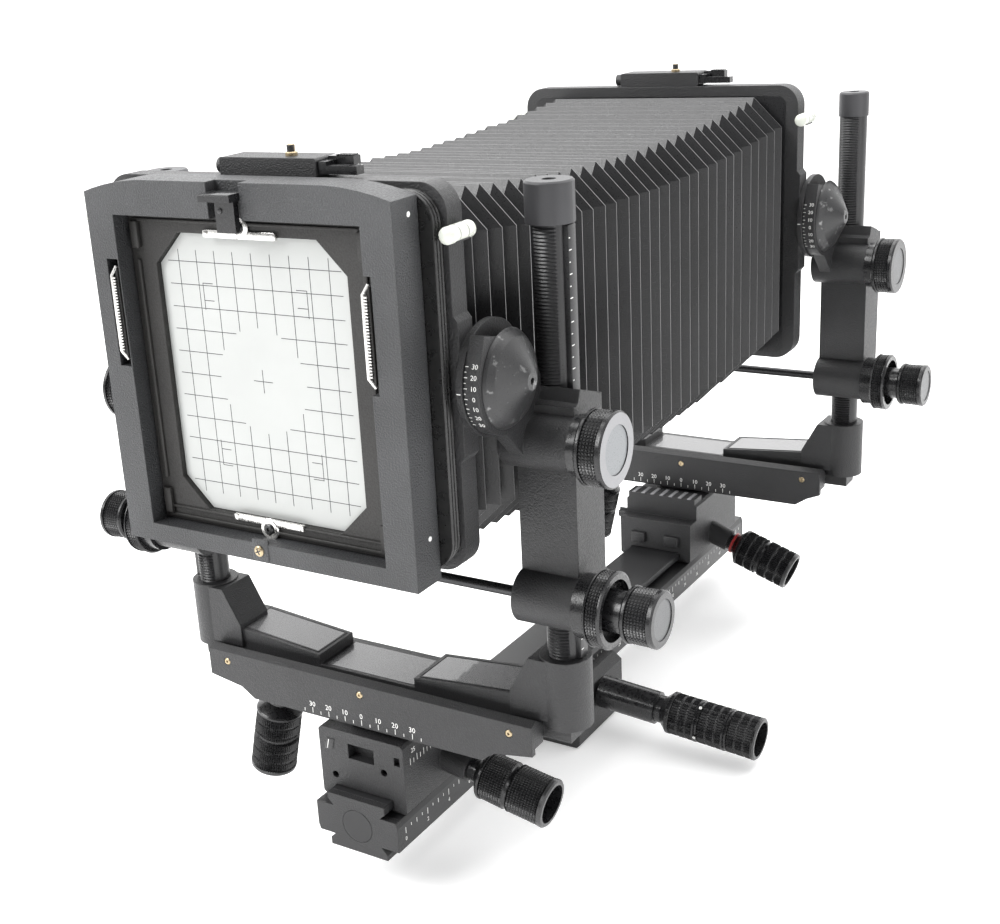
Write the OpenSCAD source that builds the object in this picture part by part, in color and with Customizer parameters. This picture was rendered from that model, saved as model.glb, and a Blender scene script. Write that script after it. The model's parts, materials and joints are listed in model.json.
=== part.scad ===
// Large-format monorail view camera on its tripod clamp.
// Origin: mouth of the tripod socket under the clamp. +Y runs along the rail towards the lens,
// +X is to the right when standing behind the camera, +Z is up.

/* [Rail] */
// Length of the monorail
rail_len = 450; // [420:10:600]
// Full width of the rail's body
rail_w = 49; // [46:1:52]
// Width of the dovetail flange on top of the rail
flange_w = 34.4; // [32:0.2:36]
// Width of the necks above and below the rail's body
neck_w = 28; // [26:0.2:30]
// Height of the rail from foot to flange
rail_h = 30; // [29:0.5:33]
// Height of the dovetail foot and of the flange
dovetail_h = 6.8; // [6:0.2:7.5]

/* [Tripod clamp] */
// Length of the clamp along the rail
clamp_len = 57; // [50:1:70]
// Width of the clamp
clamp_w = 70; // [64:1:80]
// Solid thickness between the tripod plate and the rail's foot
clamp_floor = 20.4; // [18:0.2:24]
// How far the clamp's cheeks rise beside the rail
clamp_cheek = 16.6; // [12:0.2:17]
// Radius of the tripod socket (3/8 inch thread)
socket_r = 4.76; // [3.1:0.01:5]
// Depth of the tripod socket
socket_depth = 12; // [8:0.5:14]
// Droop of the clamp handle below level, in degrees
handle_droop = 4.7; // [0:0.1:8]
// Length of the handle's grip
grip_len = 54; // [40:1:60]

/* [Standards] */
// Distance between the two standards along the rail
standard_gap = 372.6; // [330:0.1:380]
// Distance from the rail's rear end to the middle of the rear carriage
rear_offset = 34.4; // [30:0.1:40]
// Sideways offset of the front standard
front_shift = 6.2; // [0:0.1:10]
// How far the front carriage sits behind its own standard's posts
front_setback = 26.6; // [0:0.1:30]
// Length of a carriage along the rail
carriage_len = 53; // [46:1:58]
// Width of a carriage
carriage_w = 50.8; // [48:0.2:54]
// Height of a carriage's top above the rail's flange
carriage_h = 32; // [30:0.5:36]

/* [Bearer] */
// Half distance between the two posts
post_x = 104.1; // [102:0.1:110]
// Diameter of a post
post_d = 16; // [14:0.5:18]
// Height of a post's cap top above the bearer's sockets
post_h = 213.3; // [200:0.1:260]
// Diameter of a rear post's cap
cap_d = 21; // [19:0.5:24]
// Diameter of a front post's cap
front_cap_d = 17.4; // [17:0.1:24]
// How much lower the front posts end
front_post_drop = 6.6; // [0:0.1:10]
// Length of a front post's cap
front_cap_len = 14; // [12:0.5:16]
// Length of a rear post's cap
cap_len = 17.5; // [12:0.5:20]
// Full length of the shift bar
bar_len = 192; // [180:1:196]
// Thickness of the bearer's middle plate
bearer_plate = 16; // [12:0.5:18]

/* [Carriers] */
// Height of the lower boss axis above the sockets
boss_z = 32.5; // [31:0.1:40]
// Distance between the lower and the upper boss axes
boss_gap = 72.9; // [68:0.1:76]
// Radius of a boss
boss_r = 12.3; // [11.5:0.1:13]
// Radius of the rise shaft
rise_shaft_r = 2.5; // [2:0.1:3]
// Pitch radius of the rise pinion
rise_pinion_r = 5; // [4.5:0.1:5.5]
// Radius of a rise knob
rise_knob_r = 12.7; // [12:0.1:15]
// Radius of a lock ring
lock_ring_r = 17.2; // [16:0.1:18.5]
// Radius of an upper lock knob
upper_knob_r = 16.5; // [15:0.1:18]

/* [Format frames] */
// Half width of a standard's frame
frame_x = 89; // [87:0.5:90]
// Height of a standard's frame
frame_h = 162.4; // [150:0.1:166]
// How much lower the front frame hangs on its pivots
front_drop = 3.6; // [0:0.1:6]
// Half width of the bellows
bellows_x = 81.5; // [70:0.5:82]
// Height of the bellows
bellows_h = 154; // [140:1:156]
// Width of the ground glass
glass_w = 101.2; // [90:0.1:104]
// Height of the ground glass
glass_h = 125.3; // [110:0.1:126]
// Half width of the spring back
back_x = 80; // [76:0.5:84]

/* [Fits] */
// Radial clearance of a shaft in its bore
run_gap = 0.05; // [0.01:0.01:0.1]
// Clearance of a sliding dovetail
slide_gap = 0.3; // [0.2:0.05:0.5]

/* [Hidden] */
$fn = 64;

rail_z = clamp_floor;
rail_top = rail_z + rail_h;
rail_y0 = -rear_offset - 165;
rear_y = rail_y0 + rear_offset;
front_y = rear_y + standard_gap;

// heights of the layers above the rail
carriage_top = rail_top + carriage_h;
turntable_h = 5;
slide_rail_h = 9;
turntable_r = 19.8;
bearer_bottom = carriage_top + turntable_h + 5.5;
bearer_top = bearer_bottom + bearer_plate;
socket_top = bearer_top + 31.1;
socket_bottom = bearer_bottom + 12.6;
foot_bottom = bearer_bottom + 5.1;
post_bottom = socket_bottom + 2;
cap_top = socket_top + post_h;

// places on a standard, measured from the middle of its carriage
post_y = -3.4;
pinion_y = post_y - post_d / 2 - rise_pinion_r;
lower_z = socket_top + boss_z;
upper_z = lower_z + boss_gap;
hub_y = -38;
hub_z = upper_z + 32.8;
frame_y = -58;
frame_t = 11;
frame_mid = hub_z + 0.7;
carrier_x = post_x - 12.6;
carrier_w = 28;
carrier_back = post_y + 11.6;
carrier_front = post_y - 14;
carrier_top = upper_z + 16.2;
collar_top = carrier_top + 6.4;
glass_y = -70;

// knobs on the carrier's axes, measured outward from the boss end
boss_end = post_x + 16.9;
ring_collar = 6.7;
ring_t = 15;
knob_gap = 7;
knob_t = 15;
neck_r = 9.5;
upper_collar_t = 5;
upper_knob_t = 12.4;

// focus drive
focus_y = 12;
rear_droop = 10.4;
front_droop = 19.5;
focus_pinion_r = 12;
focus_shaft_r = 4;
focus_z = rail_top + focus_pinion_r;
focus_grip_r = 12.6;

// clamp handle
handle_r = 9.6;
handle_grip_r = 12.3;
handle_z = 25.6;

module mirror_x() {
    children();
    mirror([1, 0, 0]) children();
}

// a 2D outline in X and Z, extruded from y0 over a thickness t
module slab(y0, t) {
    translate([0, y0 + t, 0]) rotate([90, 0, 0]) linear_extrude(t) children();
}

// a cylinder along X from x0 to x1, at a given Y and Z
module bar_x(x0, x1, y, z, r) {
    translate([x0, y, z]) rotate([0, 90, 0]) cylinder(h = x1 - x0, r = r);
}

// a cylinder along Y
module bar_y(y0, y1, x, z, r) {
    translate([x, y0, z]) rotate([-90, 0, 0]) cylinder(h = y1 - y0, r = r);
}

// a rectangle centred on the origin with round corners
module round_rect(w, h, r) {
    square([w - 2 * r, h], center = true);
    square([w, h - 2 * r], center = true);
    for (sx = [-1, 1], sy = [-1, 1])
        translate([sx * (w / 2 - r), sy * (h / 2 - r)]) circle(r);
}

// a rectangle with cut corners, from z0 to z1
module cut_rect(half_w, z0, z1, cut_low, cut_high) {
    polygon([
        [half_w - cut_low, z0], [half_w, z0 + cut_low],
        [half_w, z1 - cut_high], [half_w - cut_high, z1],
        [cut_high - half_w, z1], [-half_w, z1 - cut_high],
        [-half_w, z0 + cut_low], [cut_low - half_w, z0]
    ]);
}

// a stack of cylinders along Z, each given as [height, bottom radius, top radius]
module turned(steps, i = 0) {
    if (i < len(steps)) {
        cylinder(h = steps[i][0], r1 = steps[i][1], r2 = steps[i][2]);
        translate([0, 0, steps[i][0]]) turned(steps, i + 1);
    }
}

// -------- rail and tripod clamp --------

// the rail's cross-section, grown by g
module rail_profile(g = 0) {
    body_low = rail_z + dovetail_h;
    body_high = rail_top - dovetail_h;
    polygon([for (s = [1, -1]) for (p = [
        [flange_w / 2 + g, rail_top + g],
        [flange_w / 2 + g, rail_top - 4 - g / 2],
        [neck_w / 2 + g, body_high + g],
        [rail_w / 2 - 1 + g, body_high + g],
        [rail_w / 2 + g, body_high - 3 + g],
        [rail_w / 2 + g, body_low - g],
        [neck_w / 2 + g, body_low - g],
        [flange_w / 2 + g, rail_z + 3 + g / 2],
        [flange_w / 2 + g, rail_z - g]
    ]) p * s - [0, (s - 1) * (rail_z + rail_h / 2)]]);
}

module rail() {
    color("dimgray")
    difference() {
        slab(rail_y0 + 4, rail_len - 8) rail_profile();
        for (y = [rail_y0, rail_y0 + rail_len - 14])
            bar_y(y - 1, y + 15, 0, rail_z + rail_h / 2, 2.5 + run_gap);
    }
}

// plain caps that close both ends of the rail
module rail_end_caps() {
    color("#2c2c2e")
    for (end = [0, 1])
        translate([0, end == 0 ? rail_y0 : rail_y0 + rail_len, 0])
        mirror([0, end, 0]) {
            difference() {
                slab(0, 4) rail_profile();
                bar_y(-1, 0.4, 0, rail_z + rail_h / 2, 9);
            }
            bar_y(0.4, 13, 0, rail_z + rail_h / 2, 2.5);
        }
}

module tripod_clamp() {
    top = rail_z + clamp_cheek;
    color("#303032")
    difference() {
        slab(-clamp_len / 2, clamp_len)
        difference() {
            polygon([
                [-clamp_w / 2 + 2, 0], [clamp_w / 2 - 2, 0], [clamp_w / 2, 2],
                [clamp_w / 2, top - 4], [clamp_w / 2 - 5, top],
                [5 - clamp_w / 2, top], [-clamp_w / 2, top - 4], [-clamp_w / 2, 2]
            ]);
            rail_profile(0.1);
            // slot over the cheeks so that the clamp opens upward
            translate([-rail_w / 2 - 0.1, top - 6]) square([rail_w + 0.2, 10]);
        }
        translate([0, 0, -1]) cylinder(h = socket_depth + 1, r = socket_r);
        clamp_axis() translate([0, 0, -1]) cylinder(h = 20, r = 5 + run_gap);
    }
}

// frame of the clamp handle's own axis, +Z outward, from inside the right cheek
module clamp_axis() {
    translate([clamp_w / 2 - 7, 0, handle_z]) rotate([0, 90 + handle_droop, 0]) children();
}

module clamp_handle() {
    section = grip_len / 3;
    color("#1b1b1c")
    clamp_axis() difference() {
        turned([
            [8, 5, 5],
            [36, handle_r, handle_r],
            [4, handle_r - 1.6, handle_r - 1.6],
            [4, handle_r - 1.6, handle_grip_r],
            [section - 1.5, handle_grip_r, handle_grip_r],
            [1.5, handle_grip_r - 1, handle_grip_r - 1],
            [section - 1.5, handle_grip_r, handle_grip_r],
            [1.5, handle_grip_r - 1, handle_grip_r - 1],
            [section - 1.5, handle_grip_r, handle_grip_r],
            [1.5, handle_grip_r, handle_grip_r - 1.2]
        ]);
        translate([0, 0, 52 + grip_len - 14]) cylinder(h = 20, r = handle_grip_r - 2.6);
    }
}

// -------- carriage, focus drive and turntable --------

// frame of a focus knob's axis, +Z outward and down to the right
module focus_axis(droop) {
    translate([0, focus_y, focus_z]) rotate([0, 90 + droop, 0]) children();
}

// block that rides on the rail, reaching further back by setback
module carriage(setback, droop) {
    half = carriage_w / 2;
    rear_face = -carriage_len / 2 - setback;
    color("#2b2b2d")
    difference() {
        union() {
            slab(rear_face, carriage_len + setback)
            difference() {
                polygon([
                    [-half + 1, rail_top - dovetail_h + 0.8], [half - 1, rail_top - dovetail_h + 0.8],
                    [half, rail_top - dovetail_h + 2], [half, carriage_top - 1.5],
                    [half - 1.5, carriage_top], [1.5 - half, carriage_top],
                    [-half, carriage_top - 1.5], [-half, rail_top - dovetail_h + 2]
                ]);
                rail_profile(slide_gap);
            }
            translate([0, -setback, 0]) {
                focus_axis(droop) translate([0, 0, half - 4]) cylinder(h = 19, r = 7.4);
                // tip of the lock on the left side
                bar_x(-half - 5.6, 1 - half, -15, carriage_top - 13, 3.4);
            }
        }
        translate([0, -setback, 0]) focus_axis(droop) {
            translate([0, 0, -9]) cylinder(h = 60, r = focus_shaft_r + run_gap);
            translate([0, 0, -4]) cylinder(h = 8, r = focus_pinion_r + 0.4);
        }
        // pivot of the turntable
        translate([0, 0, carriage_top - 7]) cylinder(h = 9, r = 5 + run_gap);
    }
}

module rear_carriage() {
    half = carriage_w / 2;
    color("#2b2b2d")
    difference() {
        carriage(0, rear_droop);
        // window, holes and notch in the rear face
        translate([-7.8, -carriage_len / 2 - 1, carriage_top - 14.5]) cube([15.6, 7, 8.2]);
        bar_y(-carriage_len / 2 - 1, -carriage_len / 2 + 9, -16.8, carriage_top - 26, 1.9);
        bar_y(-carriage_len / 2 - 1, -carriage_len / 2 + 9, 13.3, carriage_top - 17.3, 1.9);
        translate([half - 5.6, -carriage_len / 2 - 1, carriage_top - 11.5]) cube([3.4, 4, 4.6]);
    }
}

// the front block has a stepped rear end with a ribbed plate on top
module front_carriage() {
    rear_face = -carriage_len / 2 - front_setback;
    plate_y = rear_face + 10.5;
    color("#2b2b2d")
    difference() {
        union() {
            carriage(front_setback, front_droop);
            translate([-24, plate_y, carriage_top - 2]) cube([48, 12, 5.6]);
        }
        translate([-40, rear_face - 1, carriage_top - 11]) cube([80, 11.5, 40]);
        bar_y(rear_face - 1, rear_face + 9, -14, carriage_top - 24, 1.9);
    }
}

module focus_shaft(droop) {
    color("silver")
    focus_axis(droop) translate([0, 0, -8.5]) turned([
        [5, focus_shaft_r, focus_shaft_r],
        [7, focus_pinion_r - 0.8, focus_pinion_r - 0.8],
        [48, focus_shaft_r, focus_shaft_r]
    ]);
}

// two ribbed bands, a groove and a hollow end, on the frame's +Z
module ribbed_grip(r, bore_r, bore_len) {
    difference() {
        turned([
            [4.5, 6, 6],
            [4.5, 6, r],
            [15, r, r],
            [1.6, r - 1, r - 1],
            [19, r, r],
            [1.4, r, r - 1.2]
        ]);
        translate([0, 0, -1]) cylinder(h = bore_len + 1, r = bore_r);
        translate([0, 0, 34]) cylinder(h = 20, r = r - 2.8);
    }
}

module focus_knob(droop) {
    color("#1c1c1d")
    focus_axis(droop) translate([0, 0, carriage_w / 2 + 15.4])
        ribbed_grip(focus_grip_r, focus_shaft_r, 11);
}

module turntable() {
    color("#3a3a3c") {
        translate([0, 0, carriage_top - 6.5]) cylinder(h = 7, r = 5);
        translate([0, 0, carriage_top + 0.4]) cylinder(h = turntable_h - 0.4, r = turntable_r);
        // rail that the bearer slides on
        translate([0, 0, carriage_top + turntable_h - 0.01])
            linear_extrude(slide_rail_h) square([46, 20], center = true);
    }
}

// -------- bearer --------

bar_front = -23.6;
bar_depth = 10.6;
lip_drop = 23.3;
bearer_back = 20;

// tapered block that holds the foot of a post
module post_socket() {
    r = 12;
    translate([post_x, post_y, socket_bottom])
        cylinder(h = socket_top - socket_bottom, r = r);
    // inner half, with a face that slopes towards the post
    slab(post_y - r + 0.8, 2 * r - 1.6)
        polygon([
            [post_x - 24, bearer_top], [post_x - 2, bearer_top],
            [post_x - 2, socket_top - 0.8], [post_x - 13.7, socket_top - 0.8],
            [post_x - 23.8, bearer_top + 11.7]
        ]);
    // foot under the post
    translate([post_x - 13, post_y - 7, foot_bottom])
        cube([18, 14, socket_bottom - foot_bottom + 1]);
}

// sloping raised pad beside a socket, from x0 outward
module pad(x0) {
    end = post_x - 20;
    slab(bar_front + bar_depth, 29)
        polygon([
            [x0, bearer_top - 1], [x0, bearer_top + 5.1], [end, bearer_top + 9.9],
            [post_x - 9, bearer_top + 9.9], [post_x - 9, bearer_top - 1]
        ]);
}

module bearer() {
    front = bar_front + bar_depth;
    color("#2e2e30")
    difference() {
        union() {
            slab(front, bearer_back - front)
                polygon([
                    [-post_x + 9, bearer_bottom + 6], [-68, bearer_bottom],
                    [68, bearer_bottom], [post_x - 9, bearer_bottom + 6],
                    [post_x - 9, bearer_top], [-post_x + 9, bearer_top]
                ]);
            mirror_x() post_socket();
            pad(26);
            mirror([1, 0, 0]) pad(31);
        }
        mirror_x() {
            // bore that the post is pressed into
            translate([post_x, post_y, post_bottom]) cylinder(h = 100, r = post_d / 2);
            // foot screw hole
            translate([post_x, post_y, foot_bottom - 1]) cylinder(h = 14, r = 3);
        }
        // groove for the turntable's rail
        translate([-62, -10 - slide_gap, bearer_bottom - 1])
            cube([124, 20 + 2 * slide_gap, 5]);
        // hole for the shift knob's spindle
        shift_axis() translate([0, 0, -7]) cylinder(h = 20, r = 3.5 + run_gap);
    }
}

// front bar with a crest along its top and a thin deeper lip in the middle
module shift_bar(lip_half) {
    half = bar_len / 2;
    top = bearer_top;
    low = top - lip_drop;
    color("#333335")
    difference() {
        intersection() {
            translate([-half, 0, 0]) rotate([90, 0, 90]) linear_extrude(bar_len)
                polygon([
                    [bar_front, low], [bar_front, top], [bar_front + 4.3, top + 2.1],
                    [bar_front + bar_depth, top - 2], [bar_front + bar_depth, top - 11.8],
                    [bar_front + 3, top - 11.8], [bar_front + 3, low]
                ]);
            slab(bar_front - 1, bar_depth + 2)
                polygon([
                    [-half, top - 14.7], [-lip_half - 8, top - 18], [-lip_half, low],
                    [lip_half, low], [lip_half + 8, top - 18], [half, top - 14.7],
                    [half, top + 5], [-half, top + 5]
                ]);
        }
        for (x = [-84, 0, 84])
            bar_y(bar_front - 1, bar_front + 1, x, top - 5.4, 2);
    }
}

// frame of the shift knob's axis, +Z outward, down and to the left
module shift_axis() {
    translate([-63, post_y, bearer_bottom + 3]) rotate([0, 180 + 13.4, 0]) children();
}

module shift_knob() {
    color("#1c1c1d")
    shift_axis() {
        translate([0, 0, -5]) cylinder(h = 23, r = 3.5);
        translate([0, 0, 17]) ribbed_grip(focus_grip_r - 0.2, 3.4, 1);
    }
}

// two posts, that end lower by drop, with or without scale strips on their outer sides
module posts(drop, strip) {
    color("#262628")
    mirror_x() {
        translate([post_x, post_y, post_bottom])
            cylinder(h = cap_top - drop - 2 - post_bottom, r = post_d / 2);
        if (strip)
            translate([post_x + post_d / 2 - 1.5, post_y - 3.5, socket_top + 0.5])
                cube([3.3, 7, cap_top - cap_len - socket_top - 1]);
    }
}

module post_caps(drop, d, length) {
    color("#3c3c3f")
    mirror_x() translate([post_x, post_y, cap_top - drop - length])
    difference() {
        turned([[length - 0.8, d / 2, d / 2], [0.8, d / 2, d / 2 - 0.8]]);
        translate([0, 0, -1]) cylinder(h = length - 1, r = post_d / 2);
        translate([0, 0, length - 1.2]) cylinder(h = 4, r = 3);
    }
}

// -------- carriers on the posts --------

module carrier() {
    hub = [hub_y, hub_z];
    sector_r = 23.4;
    color("#2d2d2f")
    difference() {
        union() {
            translate([carrier_x, carrier_front, lower_z])
                cube([carrier_w, carrier_back - carrier_front, carrier_top - lower_z]);
            // hump around the post at the top
            translate([carrier_x + 5, 0, 0]) rotate([90, 0, 90]) linear_extrude(carrier_w - 5)
                polygon([
                    [carrier_front, carrier_top - 1], [carrier_front + 4, carrier_top + 1],
                    [carrier_front + 6, collar_top], [post_y + 3, collar_top - 3.6],
                    [carrier_back - 3, carrier_top + 0.4], [carrier_back, carrier_top - 1]
                ]);
            bar_x(carrier_x, boss_end, pinion_y, lower_z, boss_r);
            bar_x(carrier_x - 3, boss_end, pinion_y, upper_z, boss_r);
            // back of the lower boss
            translate([carrier_x, carrier_front, lower_z - boss_r + 2])
                cube([carrier_w, carrier_w - 6.4, boss_r]);
            // spigot that the lock ring turns on
            bar_x(boss_end - 1, boss_end + 9, pinion_y, lower_z, 8);
            // sector plate around the hub with its tail to the upper boss
            translate([carrier_x + 2.7, 0, 0]) rotate([90, 0, 90]) linear_extrude(6.8)
                polygon(concat(
                    [for (a = [262:-12:154]) hub + sector_r * [cos(a), sin(a)]],
                    [
                        hub + [-16.9, 21.7], hub + [-2.6, 18], hub + [20, 8],
                        [pinion_y + 12, upper_z + 15], [pinion_y + 12, upper_z],
                        [pinion_y - 4, upper_z - 11]
                    ]
                ));
        }
        // bore for the post, with a slot for its scale strip
        translate([post_x, post_y, 0]) cylinder(h = 500, r = post_d / 2 + run_gap);
        translate([post_x, post_y - 3.9, 0]) cube([post_d / 2 + 2.3, 7.8, 500]);
        // bore for the rise shaft and its pinion
        bar_x(carrier_x - 4, boss_end + 20, pinion_y, lower_z, rise_pinion_r - 0.3 + run_gap);
        // bore for the upper lock screw
        bar_x(carrier_x + 6, boss_end + 1, pinion_y, upper_z, 4 + run_gap);
        // bore for the tilt pivot
        bar_x(carrier_x, carrier_x + 14, hub_y, hub_z, 5 + run_gap);
    }
}

module right_carrier() { carrier(); }
module left_carrier() { mirror([1, 0, 0]) carrier(); }

// domed covers over the hubs, each with a socket screw
module hub_covers() {
    color("#4a4a4c")
    mirror_x() translate([carrier_x + 9.5, hub_y, hub_z]) rotate([0, 90, 0])
    difference() {
        turned([[1.5, 21, 20], [2.5, 20, 17.5], [6.5, 17.5, 5.5], [0.8, 5.5, 4]]);
        translate([0, 0, -1]) cylinder(h = 6, r = 5.3);
        translate([0, 0, 9.3]) cylinder(h = 4, r = 1.6, $fn = 6);
    }
}

module rise_shaft() {
    color("gray") {
        bar_x(-carrier_x - 1, carrier_x + 1, pinion_y, lower_z, rise_shaft_r);
        mirror_x()
            bar_x(carrier_x, boss_end + ring_t + knob_gap + 8, pinion_y, lower_z,
                rise_pinion_r - 0.3);
    }
}

module rise_knobs() {
    color("#202022")
    mirror_x() translate([boss_end + 9.6, pinion_y, lower_z]) rotate([0, 90, 0])
    difference() {
        turned([
            [ring_t - 9.6 + knob_gap, neck_r, neck_r],
            [0.8, rise_knob_r - 0.8, rise_knob_r],
            [knob_t - 2, rise_knob_r, rise_knob_r],
            [1.2, rise_knob_r, rise_knob_r - 1.2]
        ]);
        translate([0, 0, -1]) cylinder(h = ring_t - 9.6 + knob_gap + 9, r = rise_pinion_r - 0.3);
        translate([0, 0, ring_t - 9.6 + knob_gap + knob_t - 0.5]) cylinder(h = 2, r = 9.4);
    }
}

module rise_lock() {
    color("#202022")
    translate([boss_end + 0.3, pinion_y, lower_z]) rotate([0, 90, 0])
    difference() {
        turned([
            [ring_collar, 14.3, 14.3],
            [0.8, lock_ring_r - 0.8, lock_ring_r],
            [ring_t - ring_collar - 2.1, lock_ring_r, lock_ring_r],
            [1, lock_ring_r, lock_ring_r - 1]
        ]);
        translate([0, 0, -1]) cylinder(h = 30, r = 8 + run_gap);
        translate([0, 0, 9]) cylinder(h = 20, r = 13.6);
    }
}

module right_rise_lock() { rise_lock(); }
module left_rise_lock() { mirror([1, 0, 0]) rise_lock(); }

module upper_lock() {
    color("#202022")
    translate([boss_end + 0.3, pinion_y, upper_z]) rotate([0, 90, 0])
    union() {
        translate([0, 0, -20]) cylinder(h = 21, r = 4);
        difference() {
            turned([
                [upper_collar_t - 0.3, 13.4, 13.4],
                [0.8, upper_knob_r - 0.8, upper_knob_r],
                [upper_knob_t - 2, upper_knob_r, upper_knob_r],
                [1.2, upper_knob_r, upper_knob_r - 1.2]
            ]);
            translate([0, 0, upper_collar_t + upper_knob_t - 0.8]) cylinder(h = 2, r = 9.4);
        }
    }
}

module right_upper_lock() { upper_lock(); }
module left_upper_lock() { mirror([1, 0, 0]) upper_lock(); }

// -------- format frame --------

frame_z1 = frame_mid + frame_h / 2;
open_z0 = frame_mid - bellows_h / 2 + 2;
open_z1 = frame_mid + bellows_h / 2 - 2;

// the frame hangs lower by drop, and its hubs stay at the carriers' height
module format_frame(drop) {
    mid = frame_mid - drop;
    color("#3a3a3c")
    difference() {
        union() {
            slab(frame_y, frame_t) translate([0, mid])
                round_rect(2 * frame_x, frame_h, 12);
            mirror_x() {
                // wider cheeks that carry the hubs
                slab(frame_y, frame_t)
                    polygon([
                        [frame_x - 2, hub_z - 34], [frame_x + 2, hub_z - 29],
                        [frame_x + 2, hub_z + 27], [frame_x - 2, hub_z + 32]
                    ]);
                bar_x(frame_x - 5, frame_x + 2.5, hub_y, hub_z, 17.5);
                translate([frame_x - 5, frame_y + 1, hub_z - 17])
                    cube([7, hub_y - frame_y, 34]);
                // scale disc beside the carrier's sector plate
                bar_x(frame_x + 2, frame_x + 4.9, hub_y, hub_z, 24.5);
                // pin that the frame tilts on
                bar_x(frame_x + 4, carrier_x + 13, hub_y, hub_z, 5);
            }
        }
        slab(frame_y - 1, frame_t + 2) translate([0, -drop])
            cut_rect(bellows_x - 4, open_z0, open_z1, 8, 8);
    }
}

// tubular bubble levels beside the frame
module level_vials() {
    color("#e8efe6")
    mirror_x() bar_y(frame_y - 10, frame_y + 10, frame_x + 4.4, frame_mid + 62.3, 4.4);
}

// clamp housing on top of the frame
module top_housing() {
    color("#3b3b3e") {
        slab(frame_y + 1, 15) translate([1.9, frame_z1 + 4]) round_rect(50.8, 8, 1.5);
        // adjusting knob
        bar_x(-28.6, -23.5, frame_y + 8, frame_z1 + 3.6, 3.4);
        // pin on top
        translate([9.7, frame_y + 8, frame_z1 + 8]) cylinder(h = 4.4, r = 1.6);
    }
}

// two ribbed tabs that slide the lock open
module top_lever() {
    color("#232325")
    translate([27.7, 0, 0]) {
        translate([0, frame_y + 2, frame_z1 + 1.6]) cube([19, 5, 3.4]);
        translate([0, frame_y + 9, frame_z1 + 4.4]) cube([12.8, 5, 3.6]);
        translate([0, frame_y + 2, frame_z1 + 1.6]) cube([4, 12, 5]);
    }
}

// -------- rear back --------

back_front = -82.2;
back_t = 17.7;
back_z0 = frame_mid - 82.3;
back_z1 = frame_mid + 83;
gate_x = 64.7;
gate_z0 = frame_mid - 73.6;
gate_z1 = frame_mid + 67.9;
left_bail_x = -68.5;
right_bail_x = 64.9;
bail_z0 = frame_mid + 3.6;
bail_len = 42;

// black panel between the spring back and the frame
module back_panel() {
    color("#171718")
    difference() {
        slab(back_front + back_t + 0.4, frame_y - back_front - back_t - 0.7)
            translate([0, frame_mid]) round_rect(2 * frame_x - 6, frame_h - 6, 12);
        slab(-90, 60) translate([0, frame_mid]) square([97, 122], center = true);
    }
}

// outline of the spring back, arched along the top
module back_outline() {
    drop = 5.5;
    flat = 45;
    arch = [for (i = [0:8]) let(t = i / 8)
        [flat + (back_x - flat) * t, back_z1 - drop * t * t]];
    polygon(concat(
        [[-back_x, back_z0], [back_x, back_z0]],
        [for (i = [8:-1:0]) arch[i]],
        [for (p = arch) [-p[0], p[1]]]
    ));
}

module spring_back() {
    color("#4b4b4e")
    difference() {
        slab(back_front, back_t) back_outline();
        // gate that opens towards the photographer
        slab(back_front - 1, back_t + 2)
            polygon([[-gate_x, gate_z0], [gate_x, gate_z0], [gate_x, gate_z1], [-gate_x, gate_z1]]);
        // notch for the film latch
        translate([-10.4, back_front - 1, gate_z1 - 1]) cube([17.2, 7, 17.4]);
        // slots for the bail springs
        for (x = [left_bail_x, right_bail_x])
            translate([x - 3.2, back_front - 1, bail_z0 - 3]) cube([6.4, 10, bail_len + 6]);
        // socket for the tab's screw
        bar_y(back_front - 1, back_front + 4, -2.5, gate_z0 - 3.4, 2);
    }
}

// inner frame that carries the glass and moves back for a film holder
module glass_frame() {
    gap = 0.5;
    mid = hub_z - 2.3;
    color("#232325")
    slab(glass_y - 3.6, 8.1)
    difference() {
        polygon([
            [gap - gate_x, gate_z0 + gap], [gate_x - gap, gate_z0 + gap],
            [gate_x - gap, gate_z1 - gap], [gap - gate_x, gate_z1 - gap]
        ]);
        cut_rect(glass_w / 2 + 0.2, mid - glass_h / 2 - 0.2, mid + glass_h / 2 + 0.2, 14, 14);
    }
    // rim that the glass rests on
    color("#232325")
    slab(glass_y + 1, 3.5)
    difference() {
        translate([0, mid]) square([glass_w + 2, glass_h + 2], center = true);
        cut_rect(glass_w / 2 - 2, mid - glass_h / 2 + 2, mid + glass_h / 2 - 2, 14, 14);
    }
}

module ground_glass() {
    color([0.93, 0.95, 0.94, 0.9])
    slab(glass_y - 1, 2)
        cut_rect(glass_w / 2, hub_z - 2.3 - glass_h / 2, hub_z - 2.3 + glass_h / 2, 14, 14);
}

// spring clips that hold the glass at its top and bottom
module glass_clips() {
    mid = hub_z - 2.3;
    face = glass_y - 3.6;
    color("silver")
    for (s = [-1, 1])
        translate([-1.9, 0, mid + s * glass_h / 2]) {
            translate([-5, face - 0.8, s > 0 ? -3 : -6.6]) cube([10, 0.8, 9.6]);
            bar_y(face - 2, face - 0.8, 0, s * 3.6, 2.2);
        }
}

// flat spring bail in its slot beside the gate
module bail(x) {
    color("#c9c9cb")
    translate([x, 0, bail_z0]) {
        translate([-1.8, back_front - 1.6, 0]) cube([3.6, 3.2, bail_len]);
        translate([-1.8, back_front + 1.5, 0]) cube([3.6, 5, 3]);
    }
}

module right_bail() { bail(right_bail_x); }
module left_bail() { bail(left_bail_x); }

module film_latch() {
    color("#161617") {
        translate([-5, back_front - 2, gate_z1 - 5]) cube([10, 3, 16]);
        translate([-10, back_front - 6, gate_z1 + 8]) cube([16.4, 9.5, 3]);
    }
}

// -------- bellows and lens --------

bellows_y0 = rear_y + frame_y + frame_t + 0.4;
bellows_y1 = front_y + frame_y - 0.4;
bellows_sag = 12;

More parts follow.
